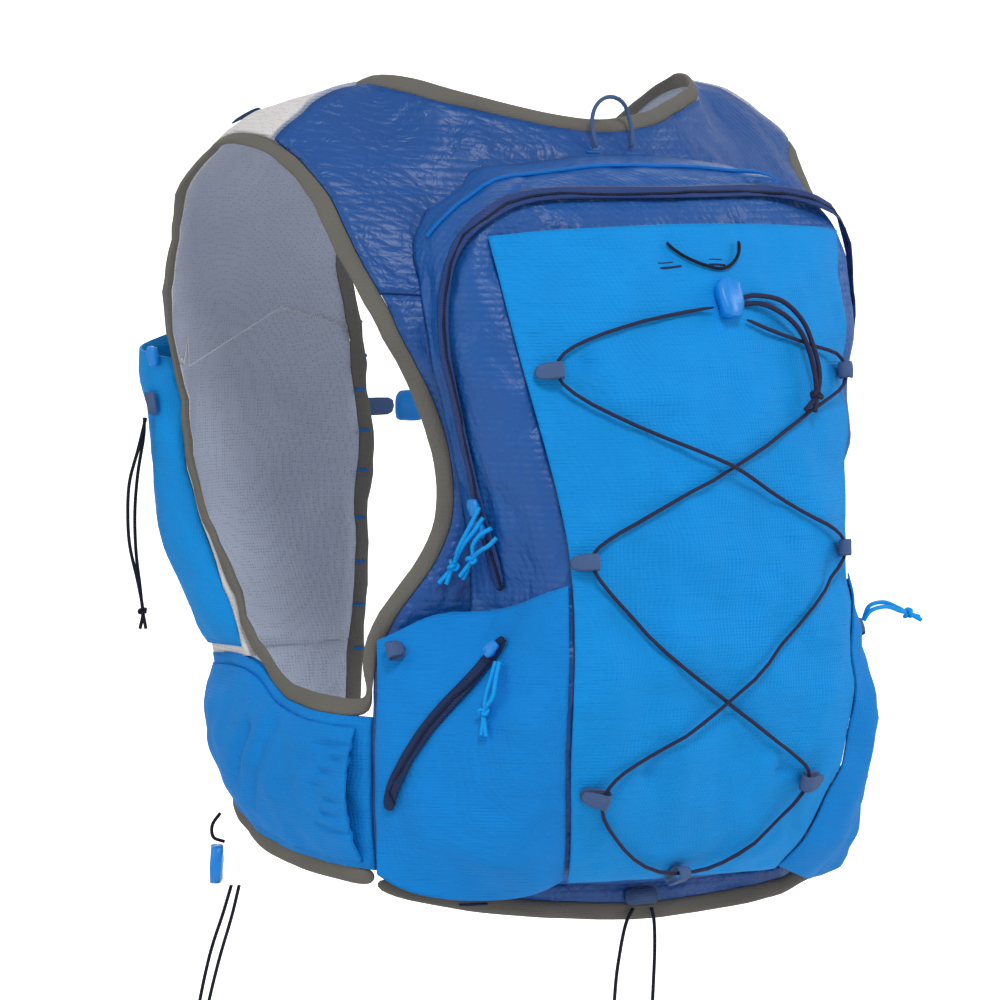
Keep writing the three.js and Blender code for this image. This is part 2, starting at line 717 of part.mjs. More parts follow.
// A rounded plate, its length along y, its width along x, its thickness up from z = 0
function plate({ length, width, thickness }, corner = 0.3) {
  const [x, y, r] = [width / 2, length / 2, corner * Math.min(width, length)];
  const outline = new THREE.Shape();
  outline.moveTo(-x + r, -y);
  outline.lineTo(x - r, -y).quadraticCurveTo(x, -y, x, -y + r);
  outline.lineTo(x, y - r).quadraticCurveTo(x, y, x - r, y);
  outline.lineTo(-x + r, y).quadraticCurveTo(-x, y, -x, y - r);
  outline.lineTo(-x, -y + r).quadraticCurveTo(-x, -y, -x + r, -y);
  return new THREE.ExtrudeGeometry(outline, { depth: thickness, bevelEnabled: false, curveSegments: 2 });
}

// Stands a piece on a place: its y axis along one way, its z axis along the normal there
function stand(geometry, place, along, normal) {
  const up = normal.clone().normalize();
  const y = along.clone().addScaledVector(up, -along.dot(up)).normalize();
  return geometry.applyMatrix4(new THREE.Matrix4().makeBasis(y.clone().cross(up), y, up).setPosition(place));
}

// A zip's slider, seated on the zip a given way from its first end
function sliderOn(frames, way) {
  let left = way;
  let k = 0;
  while (left > frames[k].place.distanceTo(frames[k + 1].place)) {
    left -= frames[k].place.distanceTo(frames[k + 1].place);
    k++;
  }
  const along = frames[k + 1].place.clone().sub(frames[k].place).normalize();
  const normal = frames[k].normal.clone().add(frames[k + 1].normal).normalize();
  const place = frames[k].place.clone().addScaledVector(along, left).addScaledVector(normal, ZIP_THICKNESS + 2 * GAP);
  return stand(plate(SLIDER), place, along, normal);
}

// A loop of folded tape: its eye stands over the place, its two ends run back along the way to the seam
function tapeLoop({ spot, normal }, way, length, eye, base = GAP) {
  const { width, thickness } = WEBBING;
  const back = way.clone().addScaledVector(normal, -way.dot(normal)).normalize();
  const axis = back.clone().cross(normal).normalize();
  const middle = base + thickness + eye;
  const reach = eye + thickness / 2;
  const path = [[length, base + thickness / 2], [0, base + thickness / 2]];
  for (let k = 1; k < 5; k++) {
    const turn = -Math.PI / 2 - k * Math.PI / 5;
    path.push([reach * Math.cos(turn), middle + reach * Math.sin(turn)]);
  }
  path.push([0, middle + reach], [length, base + 2 * thickness + GAP]);
  const spots = path.map(([out, up]) => spot.clone().addScaledVector(back, out).addScaledVector(normal, up));
  return loft(spots.map((p, k) => {
    const along = spots[Math.min(k + 1, spots.length - 1)].clone().sub(spots[Math.max(k - 1, 0)]);
    const across = along.cross(axis).normalize().multiplyScalar(thickness / 2);
    const wide = axis.clone().multiplyScalar(width / 2);
    return [[-1, -1], [1, -1], [1, 1], [-1, 1]].map(([m, n]) =>
      p.clone().addScaledVector(wide, m).addScaledVector(across, n));
  }));
}

// Seats a piece on the spot of a sheet
function seated(geometry, { spot, normal }, along, height = GAP) {
  return stand(geometry, spot.clone().addScaledVector(normal, height), along, normal);
}

// The spot on a sheet of the back that has the given out and drop
function spotOn(sheet, out, drop) {
  const place = point(out, 0, drop).setY(-BACK_PLANE - PACK_DEPTH);
  let hit = sheet.nearest(place);
  for (let k = 0; k < 6; k++) {
    hit = sheet.nearest(place.setY(hit.spot.y));
  }
  return hit;
}

// Panels
function yokeSurface() {
  const seam = SHOULDER_SEAM.slice().reverse();
  const half = [...seam, ...NECKLINE.slice(1)];
  return patch(mirrored(half), mirrored(YOKE_FOOT), curve(YOKE_SIDE, -1), curve(YOKE_SIDE, 1));
}

function backSurface() {
  const flat = patch(mirrored(YOKE_FOOT), mirrored(BACK_HEM), curve(BACK_SIDE, -1), curve(BACK_SIDE, 1));
  return (u, v) => {
    const place = flat(u, v);
    place.y += BACK_DISH * hump(u) * hump(v);
    return place;
  };
}

function frontSurface(side) {
  const flat = patch(
    curve(SHOULDER_SEAM, side), curve(FRONT_FOOT, side), curve(FRONT_EDGE, side), curve(FRONT_ARMHOLE, side));
  return (u, v) => {
    const place = flat(u, v);
    place.y += CHEST_CROWN * hump(u) * hump(v);
    return place;
  };
}

function wingSurface(side) {
  return patch(curve(WING_TOP, side), curve(WING_HEM, side), curve(WING_FRONT, side), curve(WING_REAR, side));
}

// The same surface kept back from its edges by widths in millimetres
function trimmed(surface, { top = 0, foot = 0, left = 0, right = 0 }) {
  const wide = surface(0, 0.5).distanceTo(surface(1, 0.5));
  const high = surface(0.5, 0).distanceTo(surface(0.5, 1));
  return (u, v) => surface(mix(left / wide, 1 - right / wide, u), mix(top / high, 1 - foot / high, v));
}

// The pack: a spline through the named points of each section, and another down each column
function packSurface(seats) {
  const stations = [-1, -ZIP_STATION, -EDGE_STATION, 0, EDGE_STATION, ZIP_STATION, 1];
  const rows = PACK_SECTIONS.map(([rootDrop, midDrop, rootOut, zipOut, zipRise, edgeOut, edgeRise, midRise], row) =>
    stations.map((station) => {
      const away = Math.abs(station);
      const wide = { 0: 0, [EDGE_STATION]: edgeOut, [ZIP_STATION]: zipOut, 1: rootOut }[away];
      const rise = { 0: midRise, [EDGE_STATION]: edgeRise, [ZIP_STATION]: zipRise, 1: -0.1 }[away];
      const place = new THREE.Vector3(
        Math.sign(station) * wide * PACK_HALF_WIDTH,
        -BACK_PLANE - rise * PACK_DEPTH,
        -mix(midDrop, rootDrop, away) * HEIGHT);
      const seated = away === 1 || row === 0 || row === PACK_SECTIONS.length - 1;
      return seated ? seatOn(place, seats, POCKET_GAP) : place;
    }));
  const knots = stations.map((station) => (station + 1) / 2);
  const columns = stations.map((_, k) => rows.map((row) => row[k]));
  return (u, v) => splineAt(knots, columns.map((column) => splineAt(null, column, v)), u);
}

// A Catmull-Rom spline at t through places that stand at the given knots, or evenly
function splineAt(knots, places, t) {
  const last = places.length - 1;
  const stands = knots ?? places.map((_, k) => k / last);
  let k = 0;
  while (k < last - 1 && t > stands[k + 1]) k++;
  const local = (t - stands[k]) / (stands[k + 1] - stands[k]);
  const slope = (n) => {
    const [low, high] = [Math.max(n - 1, 0), Math.min(n + 1, last)];
    return places[high].clone().sub(places[low]).multiplyScalar((stands[k + 1] - stands[k]) / (stands[high] - stands[low]));
  };
  const [square, cube] = [local * local, local ** 3];
  return places[k].clone().multiplyScalar(2 * cube - 3 * square + 1)
    .addScaledVector(slope(k), cube - 2 * square + local)
    .addScaledVector(places[k + 1], -2 * cube + 3 * square)
    .addScaledVector(slope(k + 1), cube - square);
}

// The place above the nearest of several sheets
function seatOn(from, carriers, height) {
  const hits = carriers.map((carrier) => carrier.nearest(from)).sort((a, b) => a.distance - b.distance);
  return hits[0].spot.clone().addScaledVector(hits[0].normal, height);
}

// A pocket laid over part of a surface: its outer face stands off by a wall, a gap and its slack
function overSurface(surface, { left, right, top, foot }, slack) {
  const step = 0.004;
  return (a, b) => {
    const [u, v] = [mix(left, right, a), mix(top, foot, b)];
    const across = surface(Math.min(u + step, 1), v).sub(surface(Math.max(u - step, 0), v));
    const down = surface(u, Math.min(v + step, 1)).sub(surface(u, Math.max(v - step, 0)));
    const normal = across.cross(down).normalize();
    const place = surface(u, v);
    if (normal.dot(place.clone().sub(new THREE.Vector3(0, 0, -HEIGHT / 2))) < 0) normal.negate();
    return place.addScaledVector(normal, POCKET_GAP + POCKET_WALL + slack(a, b));
  };
}

const vest = new THREE.Group();
const colours = {
  azure: 0x0096e6, hip: 0x0087dc, yoke: 0x004b9b, shell: 0x0a58a8, mesh: 0xa5acbe, strapMesh: 0xd7d4d4,
  binding: 0x6e6b64, zip: 0x28417d, darkZip: 0x19305a, bungee: 0x2d2d4b, darkCord: 0x141623,
  webbing: 0x4b6491, plastic: 0x008ce1,
};

function add(name, geometry, colour, roughness = 0.8) {
  const material = new THREE.MeshStandardMaterial({ color: colours[colour], roughness, metalness: 0 });
  const mesh = new THREE.Mesh(geometry, material);
  mesh.name = name;
  vest.add(mesh);
  return mesh;
}

const SIDES = [['left', -1], ['right', 1]];
const frontEdges = {};
const fronts = {};
const hips = {};
const bottles = {};

const yoke = new Sheet(trimmed(yokeSurface(), { top: SEAM_GAP, foot: SEAM_GAP }), ...GRID.yoke, PANEL_WALL);
const back = new Sheet(trimmed(backSurface(), { top: SEAM_GAP }), ...GRID.back, PANEL_WALL);
const packFace = packSurface([yoke, back]);
const pack = new Sheet(packFace, ...GRID.pack, SHELL_WALL, [yoke, back]);
add('yoke', yoke.geometry(), 'yoke', 0.45);
add('back_panel', back.geometry(), 'mesh');
add('pack_shell', pack.geometry(), 'shell', 0.5);

const stretchSurface = overSurface(packFace, {
  left: (1 - EDGE_STATION) / 2,
  right: (1 + EDGE_STATION) / 2,
  top: POCKET_TOP_ROW / (PACK_SECTIONS.length - 1),
  foot: POCKET_BOTTOM_ROW / (PACK_SECTIONS.length - 1),
}, (a, b) => STRETCH_POCKET_SLACK * hump(a, 0.7) * (1 - b ** 3));
const stretch = new Sheet(stretchSurface, ...GRID.stretch, POCKET_WALL, [pack]);
add('stretch_pocket', stretch.geometry(), 'azure');

for (const [name, side] of SIDES) {
  const frontFace = trimmed(frontSurface(side), { top: 2 * SEAM_GAP, foot: SEAM_GAP });
  const wingFace = trimmed(wingSurface(side), { top: SEAM_GAP, right: SIDE_SEAM_GAP });
  const front = new Sheet(frontFace, ...GRID.front, PANEL_WALL);
  const wing = new Sheet(wingFace, ...GRID.wing, PANEL_WALL);
  add(`front_panel_${name}`, front.geometry(), 'strapMesh');
  add(`side_wing_${name}`, wing.geometry(), 'strapMesh');

  const pocketEdge = (v) => {
    const low = POCKET_BOTTOM_ROW / (PACK_SECTIONS.length - 1);
    const place = packFace((1 + side * (EDGE_STATION + 0.02)) / 2, mix(0.53, low, v));
    return keepClear(place, [pack], POCKET_GAP + POCKET_WALL);
  };
  const hipFore = new THREE.CatmullRomCurve3([0, 0.25, 0.5, 0.75, 1].map(pocketEdge), false, 'centripetal');
  const ends = (rows, t) => new THREE.CatmullRomCurve3(
    [...rows.slice(0, -1).map((row) => point(...row, side)), hipFore.getPoint(t)], false, 'centripetal');
  const hipFlat = patch(ends(HIP_TOP, 0), ends(HIP_BOTTOM, 1), curve(HIP_REAR, side), hipFore);
  const hipSurface = (u, v) => {
    const place = hipFlat(u, v);
    const bulge = HIP_POCKET_SLACK * hump(u, 0.8) * hump(v, 0.7);
    return place.add(new THREE.Vector3(side * 0.8, -0.6, 0).multiplyScalar(bulge));
  };
  const hip = new Sheet(hipSurface, ...GRID.hip, POCKET_WALL, [pack, back, wing]);
  add(`hip_pocket_${name}`, hip.geometry(), 'hip');
  hips[name] = hip;
  fronts[name] = front;

  const wingPocketSurface = overSurface(wingFace, { left: 0.1, right: 0.97, top: 0.06, foot: 0.97 },
    (a, b) => WING_POCKET_SLACK * hump(b, 0.7) * Math.min(1, 4 * a) ** 0.5 * mix(1, 0.6, a));
  const wingPocket = new Sheet(wingPocketSurface, ...GRID.wingPocket, POCKET_WALL, [wing]);
  add(`wing_pocket_${name}`, wingPocket.geometry(), 'hip');

  const bottleSurface = overSurface(frontFace, { left: 0.2, right: 0.97, top: 0.52, foot: 0.985 },
    (a, b) => BOTTLE_POCKET_SLACK * hump(a, 0.8) * (1 - b ** 4));
  const bottle = new Sheet(bottleSurface, ...GRID.bottle, POCKET_WALL, [front]);
  add(`bottle_pocket_${name}`, bottle.geometry(), 'azure');
  bottles[name] = bottle;

  // Round the armhole: down the yoke and the back, forward under the arm and up the front
  const outside = side < 0 ? 'left' : 'right';
  const frontArmhole = front.edge('right');
  const lowest = wing.edge('top').at(-1).place.z;
  const armhole = [
    ...yoke.edge(outside).slice(0, -1),
    ...back.edge(outside).filter(({ place }) => place.z > lowest + BINDING_WIDTH),
    ...wing.edge('top').filter(({ place }) => place.y < frontArmhole.at(-1).place.y).reverse(),
    ...frontArmhole.slice(1, -1).reverse(),
  ];
  add(`armhole_binding_${name}`, binding(armhole, true), 'binding');
  add(`hem_binding_${name}`, binding(wing.edge('foot')), 'binding');
  frontEdges[name] = [...front.edge('left').slice(1, -1), ...wing.edge('left').slice(0, -1)];
}
add('hem_binding_back', binding(back.edge('foot')), 'binding');
const yokeTop = yoke.edge('top').filter(({ place }) => Math.abs(place.x) < SHOULDER_SEAM[0][0] * HALF_WIDTH - GAP);
add('neck_binding', binding([...frontEdges.left.slice().reverse(), ...yokeTop, ...frontEdges.right]), 'binding');

// The main zip, up one side of the pack, over its top and down the other
const zipFrames = laidFrames(mirrored(MAIN_ZIP), pack, MAIN_ZIP_WIDTH, MAIN_ZIP_STEPS);
add('main_zip', strip(zipFrames, MAIN_ZIP_WIDTH, ZIP_THICKNESS), 'zip');
for (const [name, reach] of [['lower', 33], ['upper', 44]]) {
  add(`main_zip_slider_${name}`, sliderOn(zipFrames, reach), 'plastic', 0.4);
  add(`main_zip_pull_${name}`, knotted(MAIN_PULLS[name], 4, PULL_CORD), 'plastic');
}

for (const [name, side] of SIDES) {
  const hip = hips[name];
  const route = curve(HIP_ZIP, side);
  const frames = laidFrames(route, hip, HIP_ZIP_WIDTH, HIP_ZIP_STEPS);
  add(`hip_zip_${name}`, strip(frames, HIP_ZIP_WIDTH, ZIP_THICKNESS), 'darkZip');
  add(`hip_zip_slider_${name}`, sliderOn(frames, SLIDER.length), 'plastic', 0.4);
  add(`hip_zip_pull_${name}`, knotted(HIP_PULLS[name], 4, PULL_CORD), 'plastic');

  // A loop at the pocket's upper rear corner, and a loop for a drinking hose on the shoulder strap
  const gear = hip.nearest(point(0.862, -0.86, 0.700, side));
  add(`gear_loop_${name}`, tapeLoop(gear, new THREE.Vector3(-side, 0, 0), 6, 3, 2 * GAP), 'zip');
  const hose = fronts[name].nearest(point(0.790, 0.50, 0.070, side));
  add(`hose_loop_${name}`, tapeLoop(hose, new THREE.Vector3(side, 0, -0.3), 16, 2.5), 'webbing');

  // The chest strap, sewn to the panel and run over the binding to the buckle
  const sewn = [0.34, 0.29, 0.245].map((out) => fronts[name].nearest(point(out, 1.04, 0.425, side)));
  const strap = sewn.map(({ spot, normal }) => ({ place: spot.clone().addScaledVector(normal, STRAP_LIFT), normal }));
  const free = strap.at(-1).place;
  for (const out of [BUCKLE.length, BUCKLE.length / 2 + GAP]) {
    strap.push({ place: free.clone().setX(side * out), normal: FORWARD });
  }
  add(`sternum_webbing_${name}`, strip(strap, STERNUM_WIDTH, WEBBING.thickness), 'webbing');
  if (side < 0) {
    const middle = free.clone().setX(0).addScaledVector(FORWARD, (WEBBING.thickness - BUCKLE.thickness) / 2);
    add('sternum_buckle', stand(plate(BUCKLE, 0.2), middle, RIGHT, FORWARD), 'plastic', 0.4);
  }
}

// The lacing, laid over the stretch pocket through its loops
const laceRoute = new THREE.CatmullRomCurve3(LACING.map(([out, drop, height]) => {
  const { spot, normal } = spotOn(stretch, out, drop);
  return spot.clone().addScaledVector(normal, height);
}), false, 'centripetal');
const laceLine = Array.from({ length: LACING_STEPS + 1 }, (_, k) =>
  keepClear(laceRoute.getPoint(k / LACING_STEPS), [stretch], LOW));
add('bungee_lacing', roundLoft(laceLine, CORD, 5), 'bungee');
for (const [name, out, drop, across, down] of LACE_LOOPS) {
  const way = new THREE.Vector3(across, 0, -down);
  add(`lace_loop_${name}`, tapeLoop(spotOn(stretch, out, drop), way, 12, LACE_EYE, 2 * GAP), 'webbing');
}

// The cord lock that holds the lacing, its tether through the pocket's top edge, and the lacing's free ends
add('cord_lock', seated(plate(CORD_LOCK), spotOn(stretch, ...LOCK_SPOT), UP), 'plastic', 0.4);
add('lock_tether', cord(LOCK_TETHER.map(([out, drop]) => {
  const { spot, normal } = spotOn(stretch, out, drop);
  return spot.clone().addScaledVector(normal, THIN_CORD / 2 + 2 * GAP);
}), THIN_CORD, 10), 'plastic');
add('bungee_tails', knotted(BUNGEE_TAILS, 7, CORD), 'bungee');

// The hang loop behind the neck
add('hang_loop', cord(HANG_LOOP.map((p) => new THREE.Vector3(...p)), CORD, 12), 'plastic');

// The left bottle pocket's hook, tab and cords at its upper outer corner
add('bottle_hook', seated(plate(HOOK), bottles.left.nearest(point(0.95, 1.05, 0.343, -1)), UP), 'plastic', 0.4);
add('bottle_tab', seated(plate(BOTTLE_TAB, 0.1), bottles.left.nearest(point(0.96, 1.12, 0.415, -1)), UP), 'webbing');
add('bottle_cords', knotted(BOTTLE_CORDS, 7, THIN_CORD), 'darkCord');

// The drawcord of the left lower pocket, with its lock on the two strands
const lockTop = new THREE.Vector3(...WING_CORD_LOOP.at(-1)).addScaledVector(UP, -CORD_LOCK.length / 2 - 2 * GAP);
add('wing_cord_lock', stand(plate(CORD_LOCK), lockTop, UP, new THREE.Vector3(-0.8, 0.6, 0)), 'plastic', 0.4);
add('wing_cord_loop', cord(WING_CORD_LOOP.map((p) => new THREE.Vector3(...p)), THIN_CORD, 6), 'darkCord');
add('wing_cords', knotted(WING_CORDS, 6, THIN_CORD), 'darkCord');

// The tab at the hem with its two cords
const tabSpot = back.nearest(point(-0.045, -1.07, 1.009));
add('hem_tab', seated(plate(HEM_TAB, 0.35), tabSpot, UP, OVER_BINDING), 'zip');
for (const [name, route] of Object.entries(TAB_CORDS)) {
  add(`hem_tab_cord_${name}`, knotted([route], 7, THIN_CORD), 'darkCord');
}

export default vest;
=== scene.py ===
"""Running hydration vest: its looks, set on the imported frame."""

import json
import math

import bmesh
import bpy
from bpy.props import FloatProperty, FloatVectorProperty, IntProperty, PointerProperty
from bpy.types import Operator, Panel, PropertyGroup
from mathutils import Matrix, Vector, noise
from mathutils.bvhtree import BVHTree


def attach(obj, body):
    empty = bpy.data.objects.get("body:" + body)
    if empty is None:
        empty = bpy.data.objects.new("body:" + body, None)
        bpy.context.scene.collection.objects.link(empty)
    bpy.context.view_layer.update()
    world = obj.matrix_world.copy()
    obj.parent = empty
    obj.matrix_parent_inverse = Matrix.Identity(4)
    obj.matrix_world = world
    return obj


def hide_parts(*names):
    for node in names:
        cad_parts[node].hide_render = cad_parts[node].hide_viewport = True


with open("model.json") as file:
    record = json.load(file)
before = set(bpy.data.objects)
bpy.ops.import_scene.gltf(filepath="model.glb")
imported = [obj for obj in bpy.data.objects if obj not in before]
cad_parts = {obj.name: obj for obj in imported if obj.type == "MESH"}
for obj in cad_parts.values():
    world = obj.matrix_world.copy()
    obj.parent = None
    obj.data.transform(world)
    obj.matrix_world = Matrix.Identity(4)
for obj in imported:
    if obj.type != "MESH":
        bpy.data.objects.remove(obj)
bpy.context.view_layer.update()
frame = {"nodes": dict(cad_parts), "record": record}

bl_info = {
    "name": "Running hydration vest",
    "version": (1, 0, 0),
    "blender": (4, 2, 0),
    "location": "View3D > Sidebar > Vest",
    "description": "Dresses the packed frame of a running hydration vest",
    "category": "Object",
}

MM = 0.001

# The weave: how far it runs along X and Y, how regular its cells are, and the share of a cell that is a hole.
WEAVE_ACROSS = (0.8, 0.9)
CELL_RANDOMNESS = 0.35
HOLE_RADIUS = 0.26
# How dark the mesh's holes are painted: painted shade standing for the darkness seen through the holes.
HOLE_PAINTED_SHADE = 0.68
# The unevenness of shade: its scale, detail, darkest and lightest factor.
WEAR = (28, 5, 0.86, 1.10)
SHEEN, SHEEN_ROUGHNESS = 0.02, 0.5
SMOOTH_SPECULAR, CLOTH_SPECULAR = 0.5, 0.2
CRINKLE_DETAIL, CRINKLE_DISTORTION, CRINKLE_STRENGTH = 4, 0.6, 0.9

# A knot's size and thickness, as shares of its cord's diameter, and its height against its width.
KNOT_SIZE, KNOT_THICKNESS, KNOT_RISE = 0.38, 0.42, 1.3
WING_LOOP_RADIUS = 0.0009

# The soft waves: their two scales and the share of the finer one. A fold's crest against its valley.
COARSE_WAVE, FINE_WAVE, FINE_SHARE = 30, 75, 0.45
CREST = 1.1
WELD = 0.00001
FACE_ANGLE, SHAPE_ANGLE, RIM_ANGLE = 0.7, 1.2, 0.8

LOOKS = {
    # look: colour in sRGB, roughness, kind of weave, its pitch in metres
    "azure": ((0.00, 0.56, 0.88), 0.72, "knit", 0.0016),
    "hip": ((0.00, 0.51, 0.84), 0.72, "knit", 0.0016),
    "yoke": ((0.00, 0.29, 0.58), 0.42, "ripstop", 0.0042),
    "shell": ((0.00, 0.32, 0.62), 0.45, "ripstop", 0.0034),
    "mesh": ((0.70, 0.73, 0.80), 0.85, "mesh", 0.0015),
    "strap_mesh": ((0.86, 0.85, 0.85), 0.85, "mesh", 0.0018),
    "binding": ((0.42, 0.41, 0.385), 0.80, "rib", 0.0012),
    "zip": ((0.15, 0.25, 0.48), 0.45, "rib", 0.0014),
    "dark_zip": ((0.09, 0.17, 0.33), 0.50, "rib", 0.0014),
    "bungee": ((0.16, 0.16, 0.28), 0.70, "braid", 0.0012),
    "dark_cord": ((0.07, 0.08, 0.13), 0.70, "braid", 0.0010),
    "bright_cord": ((0.00, 0.62, 0.93), 0.60, "braid", 0.0010),
    "webbing": ((0.28, 0.38, 0.55), 0.75, "rib", 0.0012),
    "plastic": ((0.00, 0.52, 0.87), 0.38, "plain", 0.0020),
    "piping": ((0.00, 0.43, 0.78), 0.60, "braid", 0.0010),
    "coil": ((0.05, 0.09, 0.22), 0.40, "braid", 0.0009),
    "thread": ((0.93, 0.93, 0.93), 0.80, "plain", 0.0010),
    "navy_thread": ((0.04, 0.12, 0.30), 0.80, "plain", 0.0010),
}

# Cords, each point chosen in millimetres. The strands of one cord share the knot, their last
# point but one, and end in short tails.
CORDS = {
    # node: slot, diameter, lay, strands
    "main_zip_pull_upper": ("bright_cord", 2.2, "hanging", [
        [(-107.3, -114, -209), (-110, -111, -217), (-111.8, -103, -229), (-111, -97, -238),
         (-115.5, -91.5, -246.5)],
        [(-106.6, -116, -214), (-109, -112, -220.5), (-110.5, -104.5, -228), (-111, -97, -238),
         (-113, -94, -247)],
    ]),
    "main_zip_pull_lower": ("bright_cord", 2.2, "hanging", [
        [(-104.5, -120, -219), (-107.5, -114.5, -222.5), (-108.5, -110, -228), (-107, -107.5, -234.3),
         (-110.2, -101.5, -243)],
        [(-102.8, -122, -223.5), (-105.5, -119, -227.5), (-107, -114.5, -230), (-107, -107.5, -234.3),
         (-107.8, -101, -244.3)],
    ]),
    "hip_zip_pull_left": ("bright_cord", 2.2, "hanging", [
        [(-110.3, -132, -282.5), (-113.2, -132.5, -290), (-116, -132, -299), (-117, -132, -306.5),
         (-119, -132.5, -317.5)],
        [(-109.8, -134.5, -282.5), (-112.5, -135.5, -290), (-115.2, -136.5, -299), (-117, -132, -306.5),
         (-118, -135, -318)],
    ]),
    "hip_zip_pull_right": ("bright_cord", 2.2, "loose", [
        [(112, -131.5, -271), (113.5, -134.5, -264), (122, -135, -262.5), (130.5, -135.5, -265.5),
         (136.5, -136, -268.5), (143.5, -136, -270.5)],
        [(110, -134.5, -271), (112, -138, -266), (121, -138.5, -264.5), (130, -138, -267),
         (136.5, -136, -268.5), (143, -138.5, -272)],
    ]),
    "bungee_tails": ("bungee", 2.5, "loose", [
        [(17.5, -157, -109), (27, -158, -108), (43, -156.5, -111), (54, -157.5, -120), (58.5, -160, -131),
         (61, -163, -146), (57, -166, -157), (49.5, -167, -164)],
        [(17.5, -156.5, -112.5), (29, -158, -112), (42, -158, -117), (51, -158.5, -124),
         (55.5, -160.5, -133), (58, -163, -146), (57, -166, -157), (54.5, -168, -165)],
    ]),
    "bottle_cords": ("dark_cord", 1.8, "hanging", [
        [(-153.8, 112, -173), (-156, 115.5, -188.5), (-158, 120.5, -205), (-158.5, 121.5, -221),
         (-158, 120.5, -237.5), (-155.5, 117, -255.5), (-154, 114.8, -270), (-154.6, 116.5, -279)],
        [(-153.3, 114, -173), (-153.2, 115, -183), (-153.5, 120, -201.5), (-154, 122, -221),
         (-154, 121, -240.5), (-154, 117.5, -257), (-154, 114.8, -270), (-153, 113.5, -279)],
    ]),
    "wing_cords": ("dark_cord", 1.8, "hanging", [
        [(-139, 57, -404), (-142, 60, -418), (-147, 65, -440), (-151, 70, -470), (-151.5, 71, -490),
         (-151, 71, -508), (-152, 73, -517)],
        [(-136, 54.5, -404), (-139, 57, -420), (-144, 61.5, -443), (-148, 67, -470), (-150, 70, -490),
         (-151, 71, -508), (-150, 70, -518)],
    ]),
    "hem_tab_cord_left": ("dark_cord", 1.8, "hanging", [
        [(-14, -111.5, -409), (-19, -112.5, -416), (-23, -113, -430), (-26, -113, -450),
         (-27.5, -112.5, -490), (-28, -112, -526), (-28, -112, -536)],
    ]),
    "hem_tab_cord_right": ("dark_cord", 1.8, "hanging", [
        [(-3, -111.5, -409), (-2, -112.5, -416), (-2, -113, -430), (-3, -113, -450), (-5, -112.5, -490),
         (-6, -112, -530), (-6, -112, -540)],
    ]),
}
WING_LOOP = [(-143.5, 60, -368), (-147, 62, -374), (-147, 61, -380), (-142, 58.5, -382.3)]


class VestCamera(PropertyGroup):
    """Where the camera stands"""
    azimuth: FloatProperty(name="Azimuth", description="Turn from behind to the wearer's left",
                           default=math.radians(-35), subtype="ANGLE")
    elevation: FloatProperty(name="Elevation", description="Height above level",
                             default=math.radians(3.0), subtype="ANGLE")
    distance: FloatProperty(name="Distance", description="From the target", default=4.5, unit="LENGTH")
    field: FloatProperty(name="Field", description="Width seen at the target", default=0.5, unit="LENGTH")
    target: FloatVectorProperty(name="Target", description="Point that the camera faces",
                                default=(0.0, 0.0, -0.2), subtype="TRANSLATION")


class VestCloth(PropertyGroup):
    """How the cloth waves and folds"""
    ripple: FloatProperty(name="Ripple", description="Depth of the soft waves in all cloth",
                          default=0.0038, unit="LENGTH")
    fold: FloatProperty(name="Folds", description="Strength of the drawn folds", default=1.7)


class VestCords(PropertyGroup):
    """How finely the cords are drawn"""
    steps: IntProperty(name="Steps", description="Points on a cord between two chosen ones", default=8)


def linear(colour):
    """An sRGB colour in linear light."""
    return tuple(c / 12.92 if c <= 0.04045 else ((c + 0.055) / 1.055) ** 2.4 for c in colour)


def weave_group():
    """Height of a regular weave and the mask of its holes, where painted shade goes, from a place in metres
    and a pitch.
    """
    tree = bpy.data.node_groups.new("Weave", "ShaderNodeTree")
    tree.interface.new_socket("Place", in_out="INPUT", socket_type="NodeSocketVector")
    tree.interface.new_socket("Pitch", in_out="INPUT", socket_type="NodeSocketFloat")
    tree.interface.new_socket("Height", in_out="OUTPUT", socket_type="NodeSocketFloat")
    tree.interface.new_socket("Holes", in_out="OUTPUT", socket_type="NodeSocketFloat")
    nodes, links = tree.nodes, tree.links
    start, end = nodes.new("NodeGroupInput"), nodes.new("NodeGroupOutput")
    split = nodes.new("ShaderNodeSeparateXYZ")
    links.new(start.outputs["Place"], split.inputs[0])

    def maths(kind, *values):
        node = nodes.new("ShaderNodeMath")
        node.operation = kind
        for socket, value in zip(node.inputs, values):
            if isinstance(value, (int, float)):
                socket.default_value = value
            else:
                links.new(value, socket)
        return node.outputs[0]

    across = maths("ADD", maths("MULTIPLY", split.outputs[0], WEAVE_ACROSS[0]),
                   maths("MULTIPLY", split.outputs[1], WEAVE_ACROSS[1]))
    wave_number = maths("DIVIDE", math.pi, start.outputs["Pitch"])
    one = maths("ABSOLUTE", maths("SINE", maths("MULTIPLY", across, wave_number)))
    two = maths("ABSOLUTE", maths("SINE", maths("MULTIPLY", split.outputs[2], wave_number)))
    links.new(maths("MULTIPLY", one, two), end.inputs["Height"])
    cells = nodes.new("ShaderNodeTexVoronoi")
    links.new(start.outputs["Place"], cells.inputs["Vector"])
    links.new(maths("DIVIDE", 1.0, start.outputs["Pitch"]), cells.inputs["Scale"])
    cells.inputs["Randomness"].default_value = CELL_RANDOMNESS
    links.new(maths("LESS_THAN", cells.outputs["Distance"], HOLE_RADIUS), end.inputs["Holes"])
    return tree


